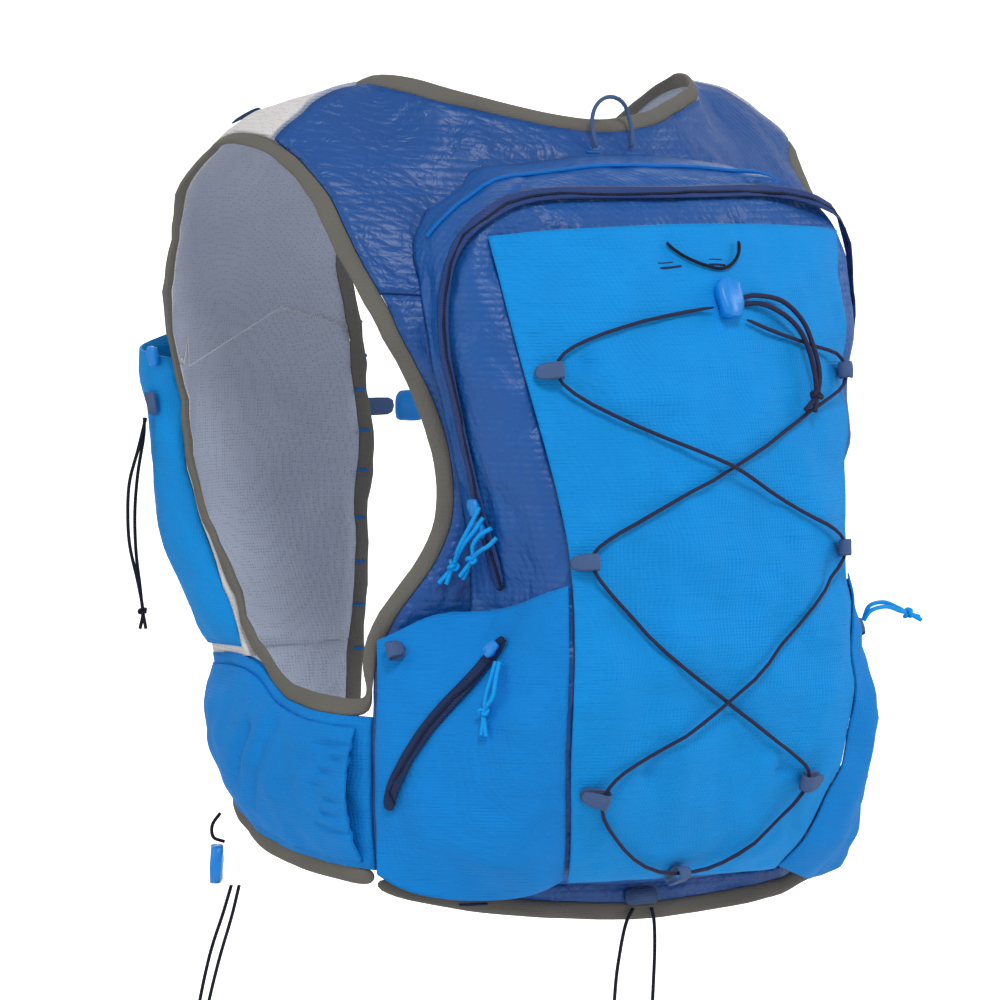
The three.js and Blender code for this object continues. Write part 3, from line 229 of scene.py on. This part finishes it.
def wear_group():
    """A soft unevenness of shade, from a place in metres."""
    tree = bpy.data.node_groups.new("Wear", "ShaderNodeTree")
    tree.interface.new_socket("Place", in_out="INPUT", socket_type="NodeSocketVector")
    tree.interface.new_socket("Shade", in_out="OUTPUT", socket_type="NodeSocketFloat")
    nodes, links = tree.nodes, tree.links
    start, end = nodes.new("NodeGroupInput"), nodes.new("NodeGroupOutput")
    cloud = nodes.new("ShaderNodeTexNoise")
    scale, detail, darkest, lightest = WEAR
    cloud.inputs["Scale"].default_value = scale
    cloud.inputs["Detail"].default_value = detail
    span = nodes.new("ShaderNodeMapRange")
    span.inputs["To Min"].default_value = darkest
    span.inputs["To Max"].default_value = lightest
    links.new(start.outputs["Place"], cloud.inputs["Vector"])
    links.new(cloud.outputs["Fac"], span.inputs["Value"])
    links.new(span.outputs["Result"], end.inputs["Shade"])
    return tree


CRINKLES = {
    # kind: stretch of the crinkle along each axis, its scale and its depth in metres
    "ripstop": ((1.0, 1.0, 0.8), 55, 0.0040),
    "knit": ((1.0, 1.0, 4.0), 30, 0.0014),
}
# The strength of each kind's weave.
DEPTHS = {"knit": 0.45, "ripstop": 0.22, "mesh": 0.5, "rib": 0.4, "braid": 0.5, "plain": 0.05}


def material(name):
    """The procedural material of one look, made once."""
    made = bpy.data.materials.get(f"vest_{name}")
    if made:
        return made
    colour, rough, kind, pitch = LOOKS[name]
    made = bpy.data.materials.new(f"vest_{name}")
    made.use_nodes = True
    nodes, links = made.node_tree.nodes, made.node_tree.links
    shader = nodes["Principled BSDF"]
    shader.inputs["Roughness"].default_value = rough
    smooth = kind in ("plain", "ripstop")
    shader.inputs["Specular IOR Level"].default_value = SMOOTH_SPECULAR if smooth else CLOTH_SPECULAR
    if kind != "plain":
        shader.inputs["Sheen Weight"].default_value = SHEEN
        shader.inputs["Sheen Roughness"].default_value = SHEEN_ROUGHNESS
    place = nodes.new("ShaderNodeTexCoord")
    weave, wear = nodes.new("ShaderNodeGroup"), nodes.new("ShaderNodeGroup")
    weave.node_tree, wear.node_tree = bpy.data.node_groups["Weave"], bpy.data.node_groups["Wear"]
    weave.inputs["Pitch"].default_value = pitch
    links.new(place.outputs["Object"], weave.inputs["Place"])
    links.new(place.outputs["Object"], wear.inputs["Place"])
    tint = nodes.new("ShaderNodeVectorMath")
    tint.operation = "SCALE"
    tint.inputs[0].default_value = linear(colour)
    links.new(wear.outputs["Shade"], tint.inputs["Scale"])
    shade = tint.outputs[0]
    if kind == "mesh":
        # The holes take painted shade: the mesh colour darkened by the hole factor.
        holes = nodes.new("ShaderNodeMix")
        holes.data_type = "RGBA"
        # Sockets 6 and 7 and output 2 are the ones for colours.
        holes.inputs[7].default_value = (*[c * HOLE_PAINTED_SHADE for c in linear(colour)], 1)
        links.new(weave.outputs["Holes"], holes.inputs["Factor"])
        links.new(shade, holes.inputs[6])
        shade = holes.outputs[2]
    links.new(shade, shader.inputs["Base Color"])
    bump = nodes.new("ShaderNodeBump")
    bump.inputs["Strength"].default_value = DEPTHS[kind]
    bump.inputs["Distance"].default_value = pitch / 3
    links.new(weave.outputs["Height"], bump.inputs["Height"])
    if kind in CRINKLES:
        stretch, size, deep = CRINKLES[kind]
        squeezed, cloud = nodes.new("ShaderNodeMapping"), nodes.new("ShaderNodeTexNoise")
        crinkle = nodes.new("ShaderNodeBump")
        squeezed.inputs["Scale"].default_value = stretch
        cloud.inputs["Scale"].default_value = size
        cloud.inputs["Detail"].default_value = CRINKLE_DETAIL
        cloud.inputs["Distortion"].default_value = CRINKLE_DISTORTION
        crinkle.inputs["Strength"].default_value = CRINKLE_STRENGTH
        crinkle.inputs["Distance"].default_value = deep
        links.new(place.outputs["Object"], squeezed.inputs["Vector"])
        links.new(squeezed.outputs["Vector"], cloud.inputs["Vector"])
        links.new(cloud.outputs["Fac"], crinkle.inputs["Height"])
        links.new(crinkle.outputs["Normal"], bump.inputs["Normal"])
    links.new(bump.outputs["Normal"], shader.inputs["Normal"])
    return made


def shown(name, mesh, slot, nodes=()):
    """A new piece of that mesh on the root body, in the slot's look if it has no material."""
    piece = bpy.data.objects.new(name, mesh)
    bpy.context.scene.collection.objects.link(piece)
    if not mesh.materials:
        mesh.materials.append(material(slot))
    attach(piece, "root")
    if nodes:
        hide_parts(*nodes)
    return piece


def smooth_line(points, steps):
    """Catmull-Rom points through the chosen ones, which are in millimetres."""
    line = [Vector(p) * MM for p in points]
    ends = [2 * line[0] - line[1], *line, 2 * line[-1] - line[-2]]
    result = []
    for a, b, c, d in zip(ends, ends[1:], ends[2:], ends[3:]):
        for k in range(steps):
            t = k / steps
            result.append(0.5 * (2 * b + (c - a) * t + (2 * a - 5 * b + 4 * c - d) * t * t
                                 + (3 * b - a - 3 * c + d) * t ** 3))
    return [*result, line[-1]]


def tube(name, line, radius, slot, cyclic=False):
    """A round cord along a line, as a curve with one spline."""
    data = bpy.data.curves.new(name, "CURVE")
    data.dimensions = "3D"
    data.bevel_depth = radius
    data.bevel_resolution = 3
    data.use_fill_caps = True
    spline = data.splines.new("POLY")
    spline.points.add(len(line) - 1)
    for point, place in zip(spline.points, line):
        point.co = (*place, 1)
    spline.use_cyclic_u = cyclic
    spline.use_smooth = True
    data.materials.append(material(slot))
    piece = bpy.data.objects.new(name, data)
    bpy.context.scene.collection.objects.link(piece)
    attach(piece, "root")
    return piece


def knot_line(place, along, size, steps=40):
    """The closed line of a trefoil knot about a place, which stands for the cord's overhand knot."""
    turn = Vector((0, 0, 1)).rotation_difference(along).to_matrix()
    line = []
    for k in range(steps):
        t = 2 * math.pi * k / steps
        ring = Vector((math.sin(t) + 2 * math.sin(2 * t),
                       math.cos(t) - 2 * math.cos(2 * t),
                       -KNOT_RISE * math.sin(3 * t)))
        line.append(place + turn @ (ring * size))
    return line


class VEST_OT_cords(Operator):
    """Lay the free cords with their knots"""
    bl_idname = "vest.cords"
    bl_label = "Free cords"

    def execute(self, context):
        steps = context.scene.vest_cords.steps
        for node, (slot, width, lay, strands) in CORDS.items():
            place, before = Vector(strands[0][-2]) * MM, Vector(strands[0][-3]) * MM
            line = knot_line(place, (place - before).normalized(), KNOT_SIZE * width * MM)
            knot = tube(f"{node}_knot", line, KNOT_THICKNESS * width * MM, slot, cyclic=True)
            for index, strand in enumerate(strands):
                line = smooth_line(strand, steps)
                piece = tube(f"{node}_strand_{index + 1}", line, width * MM / 2, slot)
                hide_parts(node)
        loop = tube("wing_lock_loop", smooth_line(WING_LOOP, steps), WING_LOOP_RADIUS, "dark_cord")
        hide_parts("wing_cord_loop")
        return {"FINISHED"}


# Drawn folds of the soft pieces: two ends, width and depth, in millimetres.
FOLDS = {
    "hip_pocket_left": [
        ((-117, -110, -368), (-132, -75, -335), 5.0, 2.4), ((-113, -110, -362), (-122, -90, -320), 4.5, 2.2),
        ((-119, -105, -374), (-140, -50, -352), 5.0, 2.0), ((-112, -115, -355), (-113, -110, -312), 4.0, 1.8),
        ((-125, -85, -300), (-138, -60, -322), 5.0, 1.5),
    ],
    "hip_pocket_right": [
        ((117, -110, -368), (132, -75, -335), 5.0, 2.4), ((113, -110, -362), (122, -90, -320), 4.5, 2.2),
        ((119, -105, -374), (140, -50, -352), 5.0, 2.0),
    ],
    "wing_pocket_left": [
        ((-146, -70, -312 - 7.2 * k), (-154, -50 + 5 * (k % 3), -313 - 6.6 * k), 2.4, 1.1) for k in range(9)
    ] + [((-155, 20, -322), (-150, 50, -372), 6.0, 1.8), ((-156, -5, -318), (-153, 20, -360), 6.0, 1.6)],
    "yoke": [
        ((-60, -70, -60), (-110, -50, -120), 6.0, 1.4), ((-30, -75, -45), (-80, -60, -40), 6.0, 1.2),
        ((30, -75, -50), (90, -60, -70), 6.0, 1.3), ((-90, -60, -30), (-118, -40, -90), 5.0, 1.3),
        ((60, -70, -40), (110, -50, -110), 6.0, 1.3),
    ],
    "stretch_pocket": [
        ((-70, -150, -140), (-88, -130, -190), 6.0, 1.8), ((-75, -150, -240), (-60, -160, -290), 7.0, 1.8),
        ((-86, -140, -215), (-50, -165, -225), 5.5, 1.5), ((75, -150, -240), (60, -160, -290), 7.0, 1.8),
        ((-30, -170, -345), (-62, -150, -320), 5.0, 1.4), ((35, -165, -345), (62, -150, -318), 5.0, 1.4),
    ],
    "pack_shell": [
        ((-108, -95, -130), (-116, -95, -190), 5.0, 1.3), ((-100, -110, -330), (-104, -105, -380), 6.0, 1.4),
        ((-70, -130, -105), (-40, -130, -98), 4.0, 1.0),
        ((-119, -90, -100), (-112, -105, -200), 4.5, 1.8), ((-112, -100, -210), (-117, -92, -280), 5.0, 1.8),
        ((-105, -110, -150), (-100, -115, -240), 4.5, 1.4), ((-80, -120, -60), (-20, -120, -52), 4.0, 1.4),
        ((0, -120, -55), (60, -118, -62), 4.0, 1.4),
    ],
    "bottle_pocket_left": [
        ((-125, 120, -215), (-118, 132, -255), 5.0, 1.6), ((-100, 130, -220), (-104, 135, -258), 5.0, 1.6),
    ],
    "bottle_pocket_right": [
        ((125, 120, -215), (118, 132, -255), 5.0, 1.6), ((100, 130, -220), (104, 135, -258), 5.0, 1.6),
    ],
}


def sunk(place, folds, ripple, strength):
    """How far cloth at a place moves, out from the body's axis when positive."""
    depth = ripple * (noise.noise(place * COARSE_WAVE) + FINE_SHARE * noise.noise(place * FINE_WAVE))
    for start, end, width, deep in folds:
        a, b = Vector(start) * MM, Vector(end) * MM
        way = b - a
        share = min(1, max(0, (place - a).dot(way) / way.length_squared))
        reach = (place - a - way * share).length / (width * MM)
        # A fold is a valley with a low crest on each side.
        depth -= strength * deep * MM * math.exp(-reach * reach) * (1 - CREST * reach * reach)
    return depth


def dress(node, look, levels=1, inner=None, rim=False, swell=0.0):
    """A smooth copy of a CAD node in a look, with its folds, standing for the node.

    inner is the look of the side towards the body, rim keeps the sheet's edges sharp, and swell is how far
    the faces move outwards.
    """
    settings = bpy.context.scene.vest_cloth
    mesh = frame["nodes"][node].data.copy()
    mesh.name = f"{node}_cloth"
    mesh.materials.clear()
    work = bmesh.new()
    work.from_mesh(mesh)
    bmesh.ops.remove_doubles(work, verts=work.verts, dist=WELD)
    bmesh.ops.join_triangles(work, faces=work.faces, angle_face_threshold=FACE_ANGLE,
                             angle_shape_threshold=SHAPE_ANGLE, cmp_seam=False, cmp_sharp=False,
                             cmp_uvs=False, cmp_vcols=False, cmp_materials=False)
    creases = work.edges.layers.float.new("crease_edge")
    for edge in work.edges:
        if rim and edge.calc_face_angle(0) > RIM_ANGLE:
            edge[creases] = 1
    for face in work.faces:
        face.smooth = True
    work.normal_update()
    for vertex, normal in [(vertex, vertex.normal.copy()) for vertex in work.verts]:
        vertex.co += normal * swell
    work.to_mesh(mesh)
    work.free()
    mesh.materials.append(material(look))
    if inner:
        mesh.materials.append(material(inner))
    piece = shown(f"{node}_dressed", mesh, frame_slot(node), [node])
    rounding = piece.modifiers.new("Rounding", "SUBSURF")
    rounding.levels = rounding.render_levels = levels
    bpy.context.view_layer.update()
    finished = bpy.data.meshes.new_from_object(piece.evaluated_get(bpy.context.evaluated_depsgraph_get()))
    piece.modifiers.clear()
    piece.data = finished
    for vertex in finished.vertices:
        out = Vector((vertex.co.x, vertex.co.y, 0)).normalized()
        vertex.co += out * sunk(vertex.co, FOLDS.get(node, []), settings.ripple, settings.fold)
    if inner:
        axis_side(finished)
    return piece


def axis_side(mesh):
    """Give the faces that look at the body's axis the second material."""
    for face in mesh.polygons:
        out = Vector((face.center.x, face.center.y, 0))
        if face.normal.dot(out) < 0:
            face.material_index = 1


SHEETS = {
    # node: outer look, inner look, levels, flat size, held
    "yoke": ("yoke", "mesh", 2, (0.34, 0.22), "stretched"),
    "back_panel": ("yoke", "mesh", 2, (0.30, 0.36), "stretched"),
    "pack_shell": ("shell", None, 3, (0.42, 0.38), "stretched"),
    "stretch_pocket": ("azure", None, 3, (0.30, 0.30), "stretched"),
    "front_panel": ("strap_mesh", "mesh", 2, (0.13, 0.44), "stretched"),
    "side_wing": ("hip", "mesh", 2, (0.22, 0.20), "stretched"),
    "hip_pocket": ("hip", None, 3, (0.14, 0.15), "gathered"),
    "wing_pocket": ("hip", None, 3, (0.17, 0.10), "gathered"),
    "bottle_pocket": ("azure", None, 2, (0.13, 0.20), "gathered"),
}


# How far the faces of a sheet move outwards, in metres, so that its edges meet their neighbours'.
SEAM_SWELL = {"yoke": 0.0006, "back_panel": 0.0006, "front_panel": 0.0013, "side_wing": 0.0013}
KNIT_HEIGHTS = [-0.278 - 0.009 * k for k in range(14)]
# Where the search for the back panel's side edge starts, out from the middle and forward, in metres.
KNIT_SEARCH = (0.140, -0.088)
KNIT_OVERLAP, KNIT_DEPTH, KNIT_WALL = 0.004, 0.0012, 0.0008


def knit_strip(side):
    """The knit strip that closes the side seam, between the nearest edges of the wing and the back panel."""
    name = "left" if side < 0 else "right"
    wing, back = surface(f"side_wing_{name}"), surface("back_panel")
    rows = []
    for height in KNIT_HEIGHTS:
        rear = back.find_nearest(Vector((side * KNIT_SEARCH[0], KNIT_SEARCH[1], height)))[0]
        front = wing.find_nearest(rear)[0]
        rear = back.find_nearest(front)[0]
        way = (front - rear).normalized()
        inward = Vector((-front.x, -front.y, 0)).normalized() * KNIT_DEPTH
        rows.append([rear - way * KNIT_OVERLAP + inward, front + way * KNIT_OVERLAP + inward])
    verts = [tuple(place) for row in rows for place in row]
    faces = [(2 * k, 2 * k + 1, 2 * k + 3, 2 * k + 2) for k in range(len(rows) - 1)]
    mesh = bpy.data.meshes.new(f"side_knit_{name}")
    mesh.from_pydata(verts, [], faces)
    piece = shown(f"side_knit_{name}", mesh, "strap_mesh")
    wall = piece.modifiers.new("Wall", "SOLIDIFY")
    wall.thickness = KNIT_WALL


class VEST_OT_cloth(Operator):
    """Dress the panels and pockets"""
    bl_idname = "vest.cloth"
    bl_label = "Panels and pockets"

    def execute(self, context):
        for base, (look, inner, levels, flat, held) in SHEETS.items():
            for node in [n for n in frame["nodes"] if n in (base, f"{base}_left", f"{base}_right")]:
                piece = dress(node, look, levels, inner, rim=True, swell=SEAM_SWELL.get(base, 0.0))
        for side in (-1, 1):
            knit_strip(side)
        return {"FINISHED"}


TRIMS = {
    # start of the node's name: look, subdivision levels, swelling in metres
    "armhole_binding": ("binding", 2, 0.0010), "hem_binding": ("binding", 2, 0.0010),
    "neck_binding": ("binding", 2, 0.0010),
    "main_zip_slider": ("plastic", 1, 0.0), "hip_zip_slider": ("plastic", 1, 0.0),
    "main_zip": ("zip", 1, 0.0), "hip_zip": ("dark_zip", 1, 0.0),
    "gear_loop": ("webbing", 1, 0.0), "hose_loop": ("webbing", 1, 0.0),
    "sternum_webbing": ("webbing", 1, 0.0), "sternum_buckle": ("plastic", 1, 0.0),
    "bungee_lacing": ("bungee", 1, 0.0), "lace_loop": ("webbing", 1, 0.0),
    "cord_lock": ("plastic", 1, 0.0), "lock_tether": ("dark_cord", 1, 0.0),
    "hang_loop": ("webbing", 1, 0.0), "bottle_hook": ("plastic", 1, 0.0),
    "bottle_tab": ("webbing", 0, 0.0), "wing_cord_lock": ("plastic", 1, 0.0),
    "hem_tab": ("webbing", 0, 0.0),
}


class VEST_OT_trims(Operator):
    """Dress the bindings, zips, lacing, loops and fasteners"""
    bl_idname = "vest.trims"
    bl_label = "Bindings and fasteners"

    def execute(self, context):
        for node in sorted(frame["nodes"]):
            if frame["nodes"][node].hide_render:
                continue
            found = [key for key in TRIMS if node.startswith(key)]
            if not found:
                raise RuntimeError(f"{node} has no look")
            look, levels, swell = TRIMS[max(found, key=len)]
            dress(node, look, levels, swell=swell)
        return {"FINISHED"}


def frame_slot(node):
    """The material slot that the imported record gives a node."""
    return next(row["material_slot"] for row in frame["record"]["subparts"] if row["node"] == node)


# The line of the pack's piping, in millimetres, before it is laid on the shell.
PIPING = [(-121, -82, -76), (-120, -86, -65), (-117, -88, -56), (-109, -90, -47), (-99, -92, -42),
          (-85, -94, -39), (-60, -96, -37), (-17, -98, -35), (38, -98, -37), (57, -97, -41),
          (73, -95, -45), (90, -92, -58), (100, -90, -72)]
PIPING_STEPS = 4
PIPING_LIFT, PIPING_RADIUS = 0.0006, 0.0011

# The zigzag across the left front panel: its ends in millimetres, its turns, half its height in metres, the
# share of the way out from the body's axis where it starts, its lift and its thread's radius.
FRONT_STITCH = ((-150, 60, -134), (-45, 92, -134))
TURNS = 120
TURN_HEIGHT, INWARD_SHARE, STITCH_LIFT, STITCH_RADIUS = 0.0011, 0.86, 0.0002, 0.0003

COIL_REACH, COIL_RADIUS = 0.003, 0.0008
BAR_SHARES = (-0.5, -0.25, 0, 0.25, 0.5)
BAR_LIFT = 0.0001
BARS = [
    # node, place, length and width in millimetres, look
    *[("neck_binding", (-38, 90, height), 7.0, 1.3, "piping")
      for height in (-124, -143, -162, -182, -203, -225, -248, -270, -292)],
    ("stretch_pocket", (-18.5, -152, -91), 13, 1.1, "navy_thread"),
    ("stretch_pocket", (10, -152, -91), 10, 1.1, "navy_thread"),
    ("stretch_pocket", (-18.5, -152, -88), 11, 0.5, "navy_thread"),
    ("stretch_pocket", (10, -152, -88), 8, 0.5, "navy_thread"),
    ("yoke", (-12, -80, -37), 8, 1.2, "piping"), ("yoke", (12, -80, -37), 8, 1.2, "piping"),
    ("hem_binding_back", (-100, -100, -403), 14, 1.2, "navy_thread"),
]


def surface(node):
    """The dressed surface of a node, for closest points."""
    mesh = bpy.data.objects[f"{node}_dressed"].data
    places = [vertex.co.copy() for vertex in mesh.vertices]
    return BVHTree.FromPolygons(places, [tuple(face.vertices) for face in mesh.polygons])


def section_centres(node):
    """The middle of each section of a strip's CAD mesh, walked from one end to the other."""
    work = bmesh.new()
    work.from_mesh(frame["nodes"][node].data)
    bmesh.ops.remove_doubles(work, verts=work.verts, dist=WELD)
    links = {v: {e.other_vert(v) for e in v.link_edges} for v in work.verts}
    # The four corners of an end have the fewest neighbours.
    start = min(work.verts, key=lambda v: (len(links[v]), v.co.z))
    layer = set(sorted(work.verts, key=lambda v: (v.co - start.co).length)[:4])
    seen, centres = set(layer), []
    while layer:
        centres.append(sum((v.co for v in layer), Vector()) / len(layer))
        layer = {other for v in layer for other in links[v]} - seen
        seen |= layer
    work.free()
    return centres


class VEST_OT_stitches(Operator):
    """Sew the piping, bartacks and stitch lines"""
    bl_idname = "vest.stitches"
    bl_label = "Piping and stitches"

    def execute(self, context):
        shell = surface("pack_shell")
        line = []
        for place in smooth_line(PIPING, PIPING_STEPS):
            spot, normal = shell.find_nearest(place)[:2]
            line.append(spot + normal * PIPING_LIFT)
        tube("pack_piping", line, PIPING_RADIUS, "shell").data.materials[0] = material("piping")
        start, end = (Vector(place) * MM for place in FRONT_STITCH)
        panel = surface("front_panel_left")
        zigzag = []
        for k in range(TURNS):
            place = start.lerp(end, k / (TURNS - 1)) + Vector((0, 0, TURN_HEIGHT * (-1) ** k))
            # The stitches lie on the side that faces the body's axis.
            inward = place * INWARD_SHARE
            spot, normal = panel.find_nearest(Vector((inward.x, inward.y, place.z)))[:2]
            zigzag.append(spot + normal * STITCH_LIFT)
        stitch = tube("front_panel_zigzag", zigzag, STITCH_RADIUS, "strap_mesh")
        stitch.data.materials[0] = material("thread")
        for node in ("main_zip", "hip_zip_left", "hip_zip_right"):
            strip = surface(node)
            coil = []
            for place in section_centres(node):
                out = Vector((place.x, place.y, 0)).normalized() * COIL_REACH
                coil.append(strip.find_nearest(place + out)[0])
            teeth = tube(f"{node}_coil", coil, COIL_RADIUS, frame_slot(node))
            teeth.data.materials[0] = material("coil")
        trees = {}
        for index, (node, place, length, width, look) in enumerate(BARS):
            tree = trees.setdefault(node, surface(node))
            spot, normal = tree.find_nearest(Vector(place) * MM)[:2]
            along = (Vector((1, 0, 0)) - normal * normal.x).normalized()
            thread = [tree.find_nearest(spot + along * (length * MM * share))[0] + normal * BAR_LIFT
                      for share in BAR_SHARES]
            bar = tube(f"bartack_{index + 1}", thread, width * MM / 2, "bright_cord")
            bar.data.materials[0] = material(look)
        return {"FINISHED"}


SENSOR_WIDTH = 36
CLIP_END = 50
# The shift that puts the target where the photograph has it, in shares of the picture's width.
SHIFT = (-0.026, -0.028)


class VEST_OT_camera(Operator):
    """Set the camera that matches the photograph"""
    bl_idname = "vest.camera"
    bl_label = "Camera"

    def execute(self, context):
        settings = context.scene.vest_camera
        target = Vector(settings.target)
        level = math.cos(settings.elevation)
        way = Vector((math.sin(settings.azimuth) * level, -math.cos(settings.azimuth) * level,
                      math.sin(settings.elevation)))
        data = bpy.data.cameras.new("Camera")
        data.sensor_width = SENSOR_WIDTH
        data.lens = data.sensor_width * settings.distance / settings.field
        data.clip_end = CLIP_END
        data.shift_x, data.shift_y = SHIFT
        camera = bpy.data.objects.new("Camera", data)
        camera.location = target + way * settings.distance
        camera.rotation_euler = (-way).to_track_quat("-Z", "Y").to_euler()
        context.scene.collection.objects.link(camera)
        context.view_layer.update()
        context.scene.camera = camera
        return {"FINISHED"}


BACKDROP_DISTANCE, BACKDROP_SIZE = 10.5, 5
FLOOR_SIZE, FLOOR_HEIGHT = 40, -1.2
FLOOR_COLOUR, FLOOR_ROUGHNESS = (0.93, 0.93, 0.93, 1), 0.95
WHITE = (1, 1, 1, 1)
BACKDROP_STRENGTH, WORLD_STRENGTH = 1.0, 0.50
LIT_POINT = Vector((0, 0, -0.2))
LAMPS = [
    # name, place, size in metres, power in watts
    ("key", (-1.2, -3.0, 2.8), 0.9, 78),
    ("fill", (-3.2, 0.4, 0.9), 2.0, 18),
    ("front", (1.5, 3.0, 1.4), 2.6, 36),
    ("right", (2.8, -1.4, 0.9), 1.2, 24),
]


class VEST_OT_stage(Operator):
    """Set the pale floor, backdrop and soft studio light"""
    bl_idname = "vest.stage"
    bl_label = "Stage"

    def execute(self, context):
        pale = bpy.data.materials.new("pale")
        pale.use_nodes = True
        pale.node_tree.nodes["Principled BSDF"].inputs["Base Color"].default_value = FLOOR_COLOUR
        pale.node_tree.nodes["Principled BSDF"].inputs["Roughness"].default_value = FLOOR_ROUGHNESS
        bpy.ops.mesh.primitive_plane_add(size=FLOOR_SIZE, location=(0, 0, FLOOR_HEIGHT))
        floor = context.object
        floor.name = "floor"
        floor.data.materials.append(pale)
        camera = context.scene.camera
        behind = camera.matrix_world @ Vector((0, 0, -BACKDROP_DISTANCE))
        bpy.ops.mesh.primitive_plane_add(size=BACKDROP_SIZE, location=behind, rotation=camera.rotation_euler)
        backdrop = context.object
        backdrop.name = "backdrop"
        white = bpy.data.materials.new("white")
        white.use_nodes = True
        white.node_tree.nodes["Principled BSDF"].inputs["Emission Color"].default_value = WHITE
        white.node_tree.nodes["Principled BSDF"].inputs["Emission Strength"].default_value = BACKDROP_STRENGTH
        backdrop.data.materials.append(white)
        for name, place, size, power in LAMPS:
            data = bpy.data.lights.new(name, "AREA")
            data.size, data.energy = size, power
            lamp = bpy.data.objects.new(name, data)
            lamp.location = place
            lamp.rotation_euler = (LIT_POINT - lamp.location).to_track_quat("-Z", "Y").to_euler()
            context.scene.collection.objects.link(lamp)
        world = bpy.data.worlds.new("studio")
        world.use_nodes = True
        world.node_tree.nodes["Background"].inputs["Color"].default_value = WHITE
        world.node_tree.nodes["Background"].inputs["Strength"].default_value = WORLD_STRENGTH
        context.scene.world = world
        context.scene.view_settings.view_transform = "Standard"
        return {"FINISHED"}


class VEST_PT_panel(Panel):
    """The vest's settings and steps"""
    bl_label = "Hydration vest"
    bl_space_type = "VIEW_3D"
    bl_region_type = "UI"
    bl_category = "Vest"

    def draw(self, context):
        scene = context.scene
        for group, names in ((scene.vest_camera, ("azimuth", "elevation", "distance", "field", "target")),
                             (scene.vest_cloth, ("ripple", "fold")), (scene.vest_cords, ("steps",))):
            for name in names:
                self.layout.prop(group, name)
        for operator in STEPS:
            self.layout.operator(operator.bl_idname)


STEPS = (VEST_OT_camera, VEST_OT_cords, VEST_OT_cloth, VEST_OT_trims, VEST_OT_stitches, VEST_OT_stage)
CLASSES = (VestCamera, VestCloth, VestCords, *STEPS, VEST_PT_panel)


def register():
    for item in CLASSES:
        bpy.utils.register_class(item)
    bpy.types.Scene.vest_camera = PointerProperty(type=VestCamera)
    bpy.types.Scene.vest_cloth = PointerProperty(type=VestCloth)
    bpy.types.Scene.vest_cords = PointerProperty(type=VestCords)


def unregister():
    for name in ("vest_cords", "vest_cloth", "vest_camera"):
        delattr(bpy.types.Scene, name)
    for item in reversed(CLASSES):
        bpy.utils.unregister_class(item)


def main():
    register()
    weave_group()
    wear_group()
    bpy.ops.vest.camera()
    bpy.ops.vest.cords()
    bpy.ops.vest.cloth()
    bpy.ops.vest.trims()
    bpy.ops.vest.stitches()
    bpy.ops.vest.stage()


if __name__ == "__main__":
    main()
